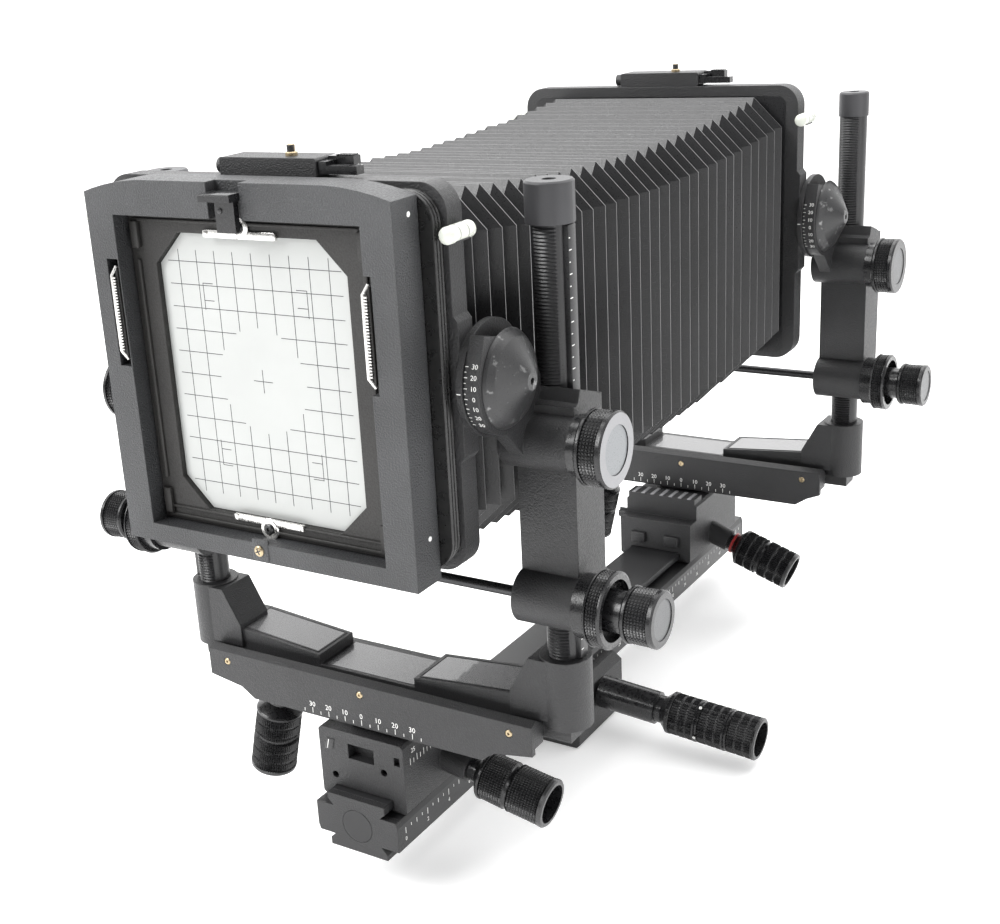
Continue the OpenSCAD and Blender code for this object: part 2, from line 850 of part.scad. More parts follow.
// one slice of the bellows' outline, shrunk by a wall
module bellows_slice(wall) {
    half_h = bellows_h / 2 - 2 - wall;
    cut_rect(bellows_x - 2 - wall, frame_mid - half_h, frame_mid + half_h, 12, 16);
}

// tapered tube that sags between the frames
module bellows() {
    steps = 8;
    length = bellows_y1 - bellows_y0;
    color("#1d1d1f")
    for (i = [0:steps - 1]) {
        mid = (i + 0.5) / steps;
        sag = bellows_sag * 4 * mid * (1 - mid) + front_drop * mid;
        translate([front_shift * mid, 0, -sag])
            slab(bellows_y0 + length * i / steps, length / steps)
            difference() {
                bellows_slice(0);
                bellows_slice(3);
            }
    }
}

module lens_board() {
    color("#262628")
    difference() {
        slab(frame_y + frame_t + 0.2, 5) translate([0, frame_mid])
            round_rect(2 * bellows_x - 2, bellows_h - 2, 6);
        bar_y(frame_y, frame_y + 30, 0, frame_mid, 20.8);
    }
}

lens_back = frame_y + frame_t - 8;
lens_len = 39.2;
filter_r = 24.5;
filter_len = 4;

module lens() {
    color("#19191a")
    translate([0, lens_back, frame_mid]) rotate([-90, 0, 0])
    difference() {
        turned([
            [7, 19, 20.6], [6.2, 20.6, 20.6], [11, 31, 31], [3, 28, 26],
            [lens_len - 28.2, 26, 27], [1, 27, 26.6]
        ]);
        translate([0, 0, -1]) cylinder(h = 9, r = 16);
        translate([0, 0, lens_len - filter_len]) cylinder(h = 10, r = filter_r);
        translate([0, 0, lens_len - filter_len - 6]) cylinder(h = 10, r = 22);
    }
}

// front and rear glass of the lens
module lens_elements() {
    color([0.75, 0.8, 0.85, 0.6])
    translate([0, lens_back, frame_mid]) rotate([-90, 0, 0]) {
        translate([0, 0, 3]) cylinder(h = 5, r = 16);
        translate([0, 0, lens_len - filter_len - 6]) cylinder(h = 4, r = 22);
    }
}

module at_rear() { translate([0, rear_y, 0]) children(); }
module at_front() { translate([0, front_y, 0]) children(); }
module at_front_drive() { at_front() translate([0, -front_setback, 0]) children(); }
module at_front_shifted() { translate([front_shift, front_y, 0]) children(); }
module at_front_frame() { translate([front_shift, front_y, -front_drop]) children(); }

rail();
rail_end_caps();
tripod_clamp();
clamp_handle();
at_rear() rear_carriage();
at_front() front_carriage();
at_rear() focus_shaft(rear_droop);  // rear_focus_shaft
at_front_drive() focus_shaft(front_droop);  // front_focus_shaft
at_rear() focus_knob(rear_droop);  // rear_focus_knob
at_front_drive() focus_knob(front_droop);  // front_focus_knob
at_rear() turntable();  // rear_turntable
at_front() turntable();  // front_turntable
at_rear() bearer();  // rear_bearer
at_front_shifted() bearer();  // front_bearer
at_rear() shift_bar(68);  // rear_shift_bar
at_front_shifted() shift_bar(80);  // front_shift_bar
at_rear() shift_knob();  // rear_shift_knob
at_front_shifted() shift_knob();  // front_shift_knob
at_rear() posts(0, true);  // rear_posts
at_front_shifted() posts(front_post_drop, false);  // front_posts
at_rear() post_caps(0, cap_d, cap_len);  // rear_post_caps
at_front_shifted() post_caps(front_post_drop, front_cap_d, front_cap_len);  // front_post_caps
at_rear() right_carrier();  // rear_right_carrier
at_front_shifted() right_carrier();  // front_right_carrier
at_rear() left_carrier();  // rear_left_carrier
at_front_shifted() left_carrier();  // front_left_carrier
at_rear() hub_covers();  // rear_hub_covers
at_front_shifted() hub_covers();  // front_hub_covers
at_rear() rise_shaft();  // rear_rise_shaft
at_front_shifted() rise_shaft();  // front_rise_shaft
at_rear() rise_knobs();  // rear_rise_knobs
at_front_shifted() rise_knobs();  // front_rise_knobs
at_rear() right_rise_lock();  // rear_right_rise_lock
at_front_shifted() right_rise_lock();  // front_right_rise_lock
at_rear() left_rise_lock();  // rear_left_rise_lock
at_front_shifted() left_rise_lock();  // front_left_rise_lock
at_rear() right_upper_lock();  // rear_right_upper_lock
at_front_shifted() right_upper_lock();  // front_right_upper_lock
at_rear() left_upper_lock();  // rear_left_upper_lock
at_front_shifted() left_upper_lock();  // front_left_upper_lock
at_rear() format_frame(0);  // rear_frame
at_front_shifted() format_frame(front_drop);  // front_frame
at_rear() level_vials();  // rear_level_vials
at_front_frame() level_vials();  // front_level_vials
at_rear() top_housing();  // rear_top_housing
at_front_frame() top_housing();  // front_top_housing
at_rear() top_lever();  // rear_top_lever
at_front_frame() top_lever();  // front_top_lever
at_rear() back_panel();
at_rear() spring_back();
at_rear() glass_frame();
at_rear() ground_glass();
at_rear() glass_clips();
at_rear() left_bail();
at_rear() right_bail();
at_rear() film_latch();
bellows();
at_front_frame() lens_board();
at_front_frame() lens();
at_front_frame() lens_elements();
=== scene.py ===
"""Looks of a 4x5 inch monorail view camera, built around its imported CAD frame."""
import json
import math
import random

import bmesh
import bpy
from mathutils import Matrix, Vector


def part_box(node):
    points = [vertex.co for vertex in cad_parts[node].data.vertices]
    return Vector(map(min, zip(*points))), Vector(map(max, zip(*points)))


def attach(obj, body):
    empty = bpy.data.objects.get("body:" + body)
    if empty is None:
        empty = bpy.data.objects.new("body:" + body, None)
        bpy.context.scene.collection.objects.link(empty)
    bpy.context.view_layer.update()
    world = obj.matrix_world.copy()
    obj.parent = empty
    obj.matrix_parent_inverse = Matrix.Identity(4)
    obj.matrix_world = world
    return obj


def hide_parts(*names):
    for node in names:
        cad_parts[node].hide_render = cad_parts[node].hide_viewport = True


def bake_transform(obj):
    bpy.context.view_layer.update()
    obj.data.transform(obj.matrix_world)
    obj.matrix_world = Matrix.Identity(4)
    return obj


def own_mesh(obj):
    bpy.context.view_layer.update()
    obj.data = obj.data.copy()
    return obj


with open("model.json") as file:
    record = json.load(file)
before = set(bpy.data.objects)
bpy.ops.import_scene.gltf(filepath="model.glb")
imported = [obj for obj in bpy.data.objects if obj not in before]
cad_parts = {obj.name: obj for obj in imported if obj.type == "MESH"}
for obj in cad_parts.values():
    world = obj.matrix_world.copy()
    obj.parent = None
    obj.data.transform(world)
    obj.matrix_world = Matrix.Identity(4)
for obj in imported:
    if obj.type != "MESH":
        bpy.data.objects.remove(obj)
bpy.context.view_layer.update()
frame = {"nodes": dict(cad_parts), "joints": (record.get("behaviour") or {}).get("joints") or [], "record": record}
MM = 0.001
JOINTS = {j["name"]: j for j in frame["joints"]}
ENDS = ("rear", "front")
random.seed(7)

for spare in ("Cube", "Light", "Camera"):
    if spare in bpy.data.objects:
        bpy.data.objects.remove(bpy.data.objects[spare])


def box_mm(node):
    """Lowest and highest corner of a CAD node, in millimetres."""
    lo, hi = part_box(node)
    return lo / MM, hi / MM


# ---------------------------------------------------------------- materials

def new_material(name, color, rough, metal=0.0, spec=0.5, coat=0.0):
    """A plain Principled material."""
    mat = bpy.data.materials.new(name)
    mat.use_nodes = True
    shader = mat.node_tree.nodes["Principled BSDF"]
    shader.inputs["Base Color"].default_value = (*color, 1)
    shader.inputs["Roughness"].default_value = rough
    shader.inputs["Metallic"].default_value = metal
    shader.inputs["Specular IOR Level"].default_value = spec
    shader.inputs["Coat Weight"].default_value = coat
    return mat


def noise(mat, scale, detail=2.0):
    """Output of a noise texture in the object's own space, in metres."""
    nodes = mat.node_tree.nodes
    place = nodes.get("Texture Coordinate") or nodes.new("ShaderNodeTexCoord")
    tex = nodes.new("ShaderNodeTexNoise")
    tex.inputs["Scale"].default_value = scale
    tex.inputs["Detail"].default_value = detail
    mat.node_tree.links.new(place.outputs["Object"], tex.inputs["Vector"])
    return tex.outputs["Fac"]


def spread(mat, value, low, high, start=0.3, end=0.7):
    """Maps a noise value onto low..high."""
    node = mat.node_tree.nodes.new("ShaderNodeMapRange")
    node.inputs["From Min"].default_value = start
    node.inputs["From Max"].default_value = end
    node.inputs["To Min"].default_value = low
    node.inputs["To Max"].default_value = high
    mat.node_tree.links.new(value, node.inputs["Value"])
    return node.outputs["Result"]


def mix_color(mat, fac, dark, light):
    """Output of a mix that runs from dark to light as fac goes from 0 to 1."""
    node = mat.node_tree.nodes.new("ShaderNodeMix")
    node.data_type = "RGBA"
    node.inputs["A"].default_value = (*dark, 1)
    node.inputs["B"].default_value = (*light, 1)
    mat.node_tree.links.new(fac, node.inputs["Factor"])
    return node.outputs["Result"]


# height of a finish's relief, as a share of its grain
RELIEF_SHARE = 0.7


def textured(name, color, rough, grain, bump, metal=0.0, spec=0.5, vary=0.25, edge=0.0, coat=0.0):
    """A finish with fine grain, uneven tone and softened edges."""
    mat = new_material(name, color, rough, metal, spec, coat)
    nodes, links = mat.node_tree.nodes, mat.node_tree.links
    shader = nodes["Principled BSDF"]
    fine = noise(mat, 1 / grain)
    broad = spread(mat, noise(mat, 22, 4), 0, 1)
    dark = [c * (1 - vary) for c in color]
    light = [c * (1 + vary) for c in color]
    links.new(mix_color(mat, broad, dark, light), shader.inputs["Base Color"])
    links.new(spread(mat, fine, rough - 0.08, rough + 0.12), shader.inputs["Roughness"])
    relief = nodes.new("ShaderNodeBump")
    relief.inputs["Strength"].default_value = bump
    relief.inputs["Distance"].default_value = grain * RELIEF_SHARE
    links.new(fine, relief.inputs["Height"])
    if edge:
        soft = nodes.new("ShaderNodeBevel")
        soft.samples = 4
        soft.inputs["Radius"].default_value = edge
        links.new(soft.outputs["Normal"], relief.inputs["Normal"])
    links.new(relief.outputs["Normal"], shader.inputs["Normal"])
    return mat


EDGE = 0.7 * MM
CAST = textured("cast_paint", (0.02, 0.02, 0.021), 0.44, 0.7 * MM, 0.7, edge=EDGE)
BACK = textured("back_paint", (0.036, 0.037, 0.039), 0.42, 0.8 * MM, 1.0, edge=EDGE)
INNER = textured("inner_paint", (0.016, 0.015, 0.014), 0.55, 0.8 * MM, 0.3, edge=EDGE)
ANODISED = textured("black_anodised", (0.013, 0.013, 0.014), 0.36, 0.3 * MM, 0.12, edge=EDGE)
KNURL = textured("knurled_black", (0.01, 0.01, 0.011), 0.26, 0.8 * MM, 0.05)
GLOSSY = textured("glossy_black", (0.01, 0.01, 0.011), 0.28, 2 * MM, 0.03, coat=0.2)
POST = textured("post_black", (0.014, 0.014, 0.015), 0.33, 0.4 * MM, 0.12)
CAP = textured("cap_metal", (0.05, 0.05, 0.053), 0.42, 0.3 * MM, 0.15, metal=0.4, edge=EDGE)
FACE = textured("face_grey", (0.27, 0.27, 0.28), 0.38, 0.5 * MM, 0.1, metal=0.3, vary=0.06)
DISC = textured("disc_grey", (0.2, 0.21, 0.22), 0.32, 0.5 * MM, 0.1, vary=0.05)
DARK_FACE = textured("dark_face", (0.035, 0.035, 0.036), 0.3, 0.4 * MM, 0.1, vary=0.1)
DARK_DISC = textured("dark_disc", (0.085, 0.087, 0.09), 0.34, 0.4 * MM, 0.1, vary=0.08)
STEEL = textured("dark_steel", (0.05, 0.05, 0.052), 0.3, 0.6 * MM, 0.1, metal=0.8)
CHROME = textured("spring_steel", (0.72, 0.71, 0.69), 0.2, 0.8 * MM, 0.08, metal=1.0, vary=0.12)
BRASS = textured("worn_brass", (0.42, 0.34, 0.22), 0.32, 0.5 * MM, 0.2, metal=1.0)
INLAY = textured("inlay_satin", (0.06, 0.06, 0.062), 0.26, 0.35 * MM, 0.3, vary=0.12, coat=0.6)
PLEAT = textured("pleat_cloth", (0.011, 0.011, 0.012), 0.33, 0.5 * MM, 0.2, vary=0.3)
# lighter grey for the flat on each pleat ridge: a painted highlight where light catches the fold
RIDGE_PAINTED_HIGHLIGHT = textured("pleat_ridge_painted_highlight", (0.12, 0.12, 0.122), 0.4, 0.5 * MM, 0.2)
RUBBER = textured("gasket_rubber", (0.01, 0.01, 0.01), 0.3, 3 * MM, 0.03)
WHITE = textured("scale_white", (0.8, 0.8, 0.78), 0.5, 0.3 * MM, 0.05, vary=0.05)
RED = textured("mark_red", (0.45, 0.03, 0.03), 0.4, 0.4 * MM, 0.05)
INK = textured("grid_ink", (0.05, 0.05, 0.055), 0.6, 0.5 * MM, 0.05)
GLASS = textured("ground_glass_pale", (0.43, 0.44, 0.43), 0.42, 0.25 * MM, 0.15, vary=0.03)
VIAL = textured("vial_white", (0.6, 0.62, 0.56), 0.2, 1.5 * MM, 0.03, vary=0.04)


def worn_hub():
    """Black paint that is rubbed through to bare metal in patches."""
    mat = textured("hub_worn", (0.022, 0.022, 0.023), 0.34, 0.5 * MM, 0.3, edge=EDGE)
    nodes, links = mat.node_tree.nodes, mat.node_tree.links
    shader = nodes["Principled BSDF"]
    rub = spread(mat, noise(mat, 240, 5), 0, 1, 0.6, 0.68)
    links.new(mix_color(mat, rub, (0.022, 0.022, 0.023), (0.2, 0.2, 0.2)), shader.inputs["Base Color"])
    links.new(rub, shader.inputs["Metallic"])
    return mat


def lens_coating():
    """Dark glass with a coating whose tint shifts slowly across it."""
    mat = new_material("lens_coated", (0.03, 0.02, 0.05), 0.05, spec=0.8, coat=1.0)
    links = mat.node_tree.links
    tint = mix_color(mat, spread(mat, noise(mat, 30), 0, 1), (0.02, 0.015, 0.04), (0.03, 0.04, 0.07))
    links.new(tint, mat.node_tree.nodes["Principled BSDF"].inputs["Base Color"])
    return mat


HUB = worn_hub()
LENS = lens_coating()
SLOT_LOOKS = {
    "casting": CAST, "rail_metal": ANODISED, "frame_paint": CAST, "knob_black": KNURL,
    "post_black": POST, "post_cap_metal": CAP, "shaft_steel": STEEL, "hub_metal": HUB,
    "bellows_cloth": PLEAT, "glass_pale": GLASS, "lens_glass": LENS, "bright_steel": CHROME,
    "vial": VIAL, "black_plastic": GLOSSY,
}
for part in frame["record"]["subparts"]:
    holder = frame["nodes"][part["node"]].data
    holder.materials.clear()
    holder.materials.append(SLOT_LOOKS[part["material_slot"]])
for node, look in {"spring_back": BACK, "glass_frame": INNER, "back_panel": RUBBER, "lens": ANODISED}.items():
    frame["nodes"][node].data.materials[0] = look


# ---------------------------------------------------------------- mesh helpers, in millimetres

def add(bm, points, faces, mat=0, matrix=None):
    """Adds points and faces, and returns the new vertices."""
    made = [bm.verts.new(matrix @ Vector(p) if matrix else p) for p in points]
    for f in faces:
        bm.faces.new([made[i] for i in f]).material_index = mat
    return made


def add_box(bm, lo, hi, mat=0, bevel=0.25, matrix=None):
    """A box between two corners, with its edges bevelled unless bevel is 0."""
    corners = [(x, y, z) for x in (lo[0], hi[0]) for y in (lo[1], hi[1]) for z in (lo[2], hi[2])]
    faces = [(0, 1, 3, 2), (4, 6, 7, 5), (0, 4, 5, 1), (2, 3, 7, 6), (0, 2, 6, 4), (1, 5, 7, 3)]
    made = add(bm, corners, faces, mat, matrix)
    if bevel:
        edges = {e for v in made for e in v.link_edges}
        out = bmesh.ops.bevel(bm, geom=list(edges), offset=bevel, segments=2, affect="EDGES",
                              profile=0.5, clamp_overlap=True)
        for f in out["faces"]:
            f.material_index = mat


def add_turned(bm, rows, matrix, mat=0, segments=96):
    """Revolves rows round the matrix's Z. A row is (z, r, pattern, pitch, height, material)."""
    rings = []
    for i, row in enumerate(rows):
        z, r, pattern, pitch, height, look = (*row, *(None, 1.2, 0.4, mat)[len(row) - 2:])
        if pattern and i:
            z0, r0 = rows[i - 1][:2]
            steps = max(2, 2 * round(abs(z - z0) / pitch))
            rings += [(z0 + (z - z0) * k / steps, r0 + (r - r0) * k / steps, pattern, k, height, look)
                      for k in range(0, steps + 1)]
        else:
            rings.append((z, r, None, 0, 0, look))
    loops = []
    for z, r, pattern, k, height, look in rings:
        loop = []
        for j in range(segments):
            peak = {None: True, "square": k % 2 == 1 and j % 2 == 1,
                    "flute": j % 2 == 1 and k % 8 != 0}[pattern]
            reach = r if peak else r - height
            a = 2 * math.pi * j / segments
            loop.append(bm.verts.new(matrix @ Vector((reach * math.cos(a), reach * math.sin(a), z))))
        loops.append(loop)
    for i in range(len(loops) - 1):
        look = rings[i + 1][5]
        for j in range(segments):
            a, b = loops[i][j], loops[i][(j + 1) % segments]
            c, d = loops[i + 1][(j + 1) % segments], loops[i + 1][j]
            if rings[i + 1][2] == "square":
                k = rings[i][3]
                split = ((a, b, c), (a, c, d)) if (k + j) % 2 == 0 else ((a, b, d), (b, c, d))
                for tri in split:
                    bm.faces.new(tri).material_index = look
            else:
                bm.faces.new((a, b, c, d)).material_index = look
    bm.faces.new(loops[0][::-1]).material_index = rings[0][5]
    bm.faces.new(loops[-1]).material_index = rings[-1][5]


def add_text(bm, text, size, matrix, mat=0):
    """Flat digits, slightly raised, centred on the matrix's origin in its XY plane."""
    curve = bpy.data.curves.new("digits", "FONT")
    curve.body = text
    curve.size = size
    curve.extrude = 0.04
    curve.resolution_u = 2
    curve.align_x = "CENTER"
    curve.align_y = "CENTER"
    holder = bpy.data.objects.new("digits", curve)
    bpy.context.scene.collection.objects.link(holder)
    bpy.context.view_layer.update()
    flat = holder.to_mesh()
    made = [bm.verts.new(matrix @ v.co) for v in flat.vertices]
    for p in flat.polygons:
        try:
            bm.faces.new([made[i] for i in p.vertices]).material_index = mat
        except ValueError:
            continue
    holder.to_mesh_clear()
    bpy.data.objects.remove(holder)
    bpy.data.curves.remove(curve)


def add_tube(bm, path, radius, mat=0, closed=True, sides=8):
    """Sweeps a round section along points whose path runs mostly across Y."""
    loops = []
    total = len(path)
    for i, p in enumerate(path):
        before = Vector(path[(i - 1) % total] if closed or i else path[0])
        after = Vector(path[(i + 1) % total] if closed or i < total - 1 else path[-1])
        along = (after - before).normalized()
        side = along.cross(Vector((0, 1, 0))).normalized()
        loop = []
        for k in range(sides):
            a = 2 * math.pi * k / sides
            out = math.cos(a) * side + math.sin(a) * Vector((0, 1, 0))
            loop.append(bm.verts.new(Vector(p) + radius * out))
        loops.append(loop)
    for i in range(total if closed else total - 1):
        a, b = loops[i], loops[(i + 1) % total]
        for k in range(sides):
            quad = (a[k], a[(k + 1) % sides], b[(k + 1) % sides], b[k])
            bm.faces.new(quad).material_index = mat
    if not closed:
        bm.faces.new(loops[0][::-1]).material_index = mat
        bm.faces.new(loops[-1]).material_index = mat


def finish_piece(name, bm, looks, body, replaces=(), sharp=32):
    """Turns bm into an object that rides on body and stands in for the nodes it replaces."""
    bmesh.ops.scale(bm, vec=(MM, MM, MM), verts=bm.verts)
    bmesh.ops.recalc_face_normals(bm, faces=bm.faces)
    mesh = bpy.data.meshes.new(name)
    bm.to_mesh(mesh)
    bm.free()
    for look in looks:
        mesh.materials.append(look)
    mesh.shade_smooth()
    mesh.set_sharp_from_angle(angle=math.radians(sharp))
    piece = bpy.data.objects.new(name, mesh)
    bpy.context.scene.collection.objects.link(piece)
    if body:
        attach(piece, body)
    if replaces:
        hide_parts(*replaces)
    return piece


def joint_frame(joint):
    """Matrix with its origin at a joint and +Z along the joint's axis."""
    row = JOINTS[joint]
    turn = Vector(row["axis"]).to_track_quat("Z", "Y").to_matrix().to_4x4()
    return Matrix.Translation(Vector(row["pos_m"]) / MM) @ turn


def facing(origin, right, up):
    """Matrix at origin whose X is right and whose Y is up."""
    right, up = Vector(right).normalized(), Vector(up).normalized()
    out = right.cross(up)
    return Matrix.Translation(origin) @ Matrix((right, up, out)).transposed().to_4x4()


# ---------------------------------------------------------------- knobs

# shared places of the castings, in millimetres
POST_X = 104.1
BEARER_TOP = 108.9
CARRIAGE_HALF = 25.4
BOSS_END = 121.0

GRIP_R = 12.6
# below this angle in degrees an edge of a knurled piece is smooth
KNURL_SHARP = 12
RIB_PITCH, RIB_DEPTH = 1.5, 0.85


def plain(z, r, mat):
    """A row of a turned piece with no pattern, in the look numbered mat."""
    return (z, r, None, 1, 0, mat)


def grip_rows(start, r, pattern, hollow):
    """Glossy neck and cone, two ribbed bands with a groove, and a hollow end."""
    rows = [(start, 6), plain(start + 4.5, 6.4, 1), plain(start + 8.2, r - 0.6, 1),
            (start + 9, r), (start + 10, r), (start + 10.2, r - 0.3)]
    rows += [(start + 23.4, r - 0.1, pattern, RIB_PITCH, RIB_DEPTH, 0),
             (start + 24, r - 1.2), (start + 25.4, r - 1.2)]
    rows += [(start + 26, r - 0.1),
             (start + 43.2, r - 0.1, pattern, RIB_PITCH, RIB_DEPTH, 0), (start + 43.6, r)]
    rows += [plain(start + 45.2, r, 2), plain(start + 46, r - 0.8, 2),
             plain(start + 46, r - 2.6, 2)]
    rows += [plain(start + 46 - hollow, r - 3, 1)]
    return rows


def knob(name, parts, body, replaces, face=DARK_FACE, disc=DARK_DISC):
    """One piece of turned parts, each given as its rows, its place and its segments."""
    bm = bmesh.new()
    for rows, matrix, segments in parts:
        add_turned(bm, rows, matrix, segments=segments)
    finish_piece(name, bm, [KNURL, GLOSSY, face, disc], body, replaces, KNURL_SHARP)


def face_knob(start, neck_r, neck, r, length, face_r):
    """Neck, square-knurled rim and a grey face with an inset disc."""
    end = start + neck + length
    return [plain(start, neck_r, 1), plain(start + neck, neck_r, 1),
            (start + neck, r - 0.9), (start + neck + 0.9, r), (start + neck + 1.9, r),
            (start + neck + 2.1, r - 0.3), (end - 2.6, r - 0.1, "square", RIB_PITCH, RIB_DEPTH, 0),
            (end - 2.4, r), (end - 0.8, r), (end, r - 0.8),
            plain(end, face_r + 0.1, 2), plain(end - 0.5, face_r, 1),
            plain(end - 0.45, face_r - 0.2, 3), plain(end - 0.45, 0.2, 3)]


def build_knobs():
    """Every knob and lock ring, on the axis of its own joint."""
    for end in ENDS:
        pattern = "flute" if end == "front" else "square"
        rows = grip_rows(CARRIAGE_HALF + 15.4, GRIP_R, pattern, 12)
        knob(f"{end}_focus_grip", [(rows, joint_frame(f"{end}_focus_turn"), 120)],
             f"{end}_focus_drive", [f"{end}_focus_knob"])
        spindle = [(-5, 3.5), (17, 3.5), *grip_rows(17, GRIP_R - 0.2, "flute", 2)]
        knob(f"{end}_shift_grip", [(spindle, joint_frame(f"{end}_shift_lock_turn"), 120)],
             f"{end}_shift_lock", [f"{end}_shift_knob"])
        across = joint_frame(f"{end}_rise_turn")
        flip = across @ Matrix.Rotation(math.pi, 4, "X")
        rise = face_knob(BOSS_END + 9.8, 9.4, 12.2, 12.7, 15, 9)
        knob(f"{end}_rise_grips", [(rise, across, 108), (rise, flip, 108)],
             f"{end}_rise_drive", [f"{end}_rise_knobs"])
        for side in ("right", "left"):
            ring = [plain(0.3, 8.1, 1), plain(0.3, 14.3, 1), (6.9, 14.3), (7, 16.4), (7.8, 17.2), (8.2, 16.9),
                    (13.8, 17.1, "square", RIB_PITCH, RIB_DEPTH, 0), (14, 17.2), (14.6, 17.2), (15.3, 16.2),
                    plain(15.3, 13.8, 1), plain(9.4, 13.6, 1), plain(9.4, 8.1, 1)]
            knob(f"{end}_{side}_lock_ring", [(ring, joint_frame(f"{end}_{side}_rise_lock_turn"), 132)],
                 f"{end}_{side}_rise_ring", [f"{end}_{side}_rise_lock"])
            upper = [plain(-20, 4, 1), plain(0.3, 4, 1)] + face_knob(0.3, 13.4, 4.7, 16.5, 12.4, 10.6)
            knob(f"{end}_{side}_upper_grip", [(upper, joint_frame(f"{end}_{side}_upper_lock_turn"), 132)],
                 f"{end}_{side}_upper_ring", [f"{end}_{side}_upper_lock"],
                 *((FACE, DISC) if end == "rear" else (DARK_FACE, DARK_DISC)))


def build_clamp_grip():
    """Glossy tube and a fluted three-part grip with white dots."""
    place = joint_frame("clamp_turn")
    rows = [(0, 5), plain(8.6, 5, 1), plain(8.6, 9.6, 1), plain(44, 9.6, 1), plain(44.4, 8, 1),
            plain(48, 8, 1), plain(52, 11.6, 1), (52.6, 12.3), (54.5, 12.3), (54.8, 12)]
    for k in range(3):
        z = 54.8 + k * 17.4
        rows += [(z + 14.2, 12.1, "flute", 1.3, 0.6, 0), (z + 14.5, 12.3), (z + 15.6, 12.3),
                 plain(z + 16, 11.3, 1), plain(z + 17.1, 11.3, 1), (z + 17.4, 12)]
    rows = rows[:-3] + [plain(105.2, 12.2, 2), plain(106, 11.4, 2), plain(106, 9.9, 2), plain(93, 9.6, 1)]
    bm = bmesh.new()
    add_turned(bm, rows, place, segments=96)
    for turn in range(4):
        spin = place @ Matrix.Rotation(turn * math.pi / 2 + 0.4, 4, "Z")
        add_turned(bm, [(0, 0.9), (0.5, 0.9), (0.6, 0.6)], spin @ Matrix.Translation((0, -12, 71.2))
                   @ Matrix.Rotation(math.pi / 2, 4, "X"), 3, segments=16)
    finish_piece("clamp_grip", bm, [KNURL, GLOSSY, DARK_FACE, WHITE], "clamp_lever", ["clamp_handle"],
                 KNURL_SHARP)


# ---------------------------------------------------------------- bellows

HALF_PLEATS = 62
PLEAT_DEPTH = 11.0
RIDGE_W, RIDGE_H = 82.0, 77.5
RIDGE_CUT, VALLEY_CUT = 17, 7
# half the width of the flat on each ridge, which carries the painted highlight
CREASE_HALF = 0.28
SAG = 11
HANG = 1.5
# half pleats in each piece, from a standard's frame to the middle
PLEAT_CUTS = (7, 8, 5, 4, 7)


def bellows_ring(k, y, half_w, half_h, cut, path):
    """Points of one eight-sided ring, centred on the sagging line that path gives."""
    x0, z0 = path(k / HALF_PLEATS)
    w, h, c = half_w, half_h, cut
    outline = [(w - c, -h), (w, c - h), (w, h - c), (w - c, h),
               (c - w, h), (-w, h - c), (-w, c - h), (c - w, -h)]
    return [(x0 + x, y, z0 + z) for x, z in outline]


def build_bellows():
    """Ten pleated pieces. On each side the four nearest the frame keep their place with no body, and the middle
    one rides on the rail's base.
    """
    lo, hi = box_mm("bellows")
    rear_mid = (box_mm("rear_frame")[0].z + box_mm("rear_frame")[1].z) / 2
    front_lo, front_hi = box_mm("front_frame")
    front_mid = (front_lo.z + front_hi.z) / 2
    front_x = (front_lo.x + front_hi.x) / 2
    step = (hi.y - lo.y) / HALF_PLEATS

    def path(t):
        """Middle of the bellows, from the rear frame at 0 to the front frame at 1."""
        sag = SAG * 4 * t * (1 - t)
        return front_x * t, rear_mid + (front_mid - rear_mid) * t - sag - HANG

    wobble = [random.uniform(-0.5, 0.5) for _ in range(HALF_PLEATS + 1)]
    counts = PLEAT_CUTS + PLEAT_CUTS[::-1]
    starts = [sum(counts[:i]) for i in range(len(counts) + 1)]
    pieces = []
    for i in range(len(counts)):
        bm = bmesh.new()
        rings = []
        for k in range(starts[i], starts[i + 1] + 1):
            y = lo.y + k * step
            if k % 2:
                w, h = RIDGE_W + wobble[k], RIDGE_H + wobble[k]
                spots = [y - CREASE_HALF, y + CREASE_HALF]
                if k == starts[i] and i:
                    spots = [y, y + CREASE_HALF]
                if k == starts[i + 1]:
                    spots = [y - CREASE_HALF, y]
                rings += [(bellows_ring(k, spot, w, h, RIDGE_CUT, path), True) for spot in spots]
            else:
                w, h = RIDGE_W - PLEAT_DEPTH, RIDGE_H - PLEAT_DEPTH
                rings.append((bellows_ring(k, y, w, h, VALLEY_CUT, path), False))
        loops = [[bm.verts.new(p) for p in ring] for ring, _ in rings]
        for a in range(len(loops) - 1):
            ridge_highlight_face = rings[a][1] and rings[a + 1][1]
            # faces between a ridge's two rings get the lighter grey: painted highlight along the fold
            for j in range(8):
                quad = (loops[a][j], loops[a][(j + 1) % 8], loops[a + 1][(j + 1) % 8], loops[a + 1][j])
                bm.faces.new(quad).material_index = 1 if ridge_highlight_face else 0
        for at_end, edge_ring in ((0, loops[0]), (len(counts) - 1, loops[-1])):
            if i == at_end:
                at_k = 0 if i == 0 else HALF_PLEATS
                rim = bellows_ring(at_k, edge_ring[0].co.y, RIDGE_W - 0.5, RIDGE_H - 1, 3, path)
                outer = [bm.verts.new(p) for p in rim]
                for j in range(8):
                    bm.faces.new((edge_ring[j], edge_ring[(j + 1) % 8], outer[(j + 1) % 8], outer[j]))
        piece = finish_piece(f"bellows_part_{i + 1}", bm, [PLEAT, RIDGE_PAINTED_HIGHLIGHT], None, (), 20)
        pieces.append((piece, lo.y + starts[i] * step, lo.y + starts[i + 1] * step))
    for i, (piece, y0, y1) in enumerate(pieces):
        link = i if i < 5 else 9 - i
        if link < 4:
            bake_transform(piece)
        else:
            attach(piece, "rail_base")
            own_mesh(piece)
        if i == 0:
            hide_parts("bellows")


# ---------------------------------------------------------------- posts and scales

# planes of the sector plate and its index, from the tilt axis' middle, in millimetres
TICK_X, LABEL_X, INDEX_X = 94.2, 98.6, 92.4


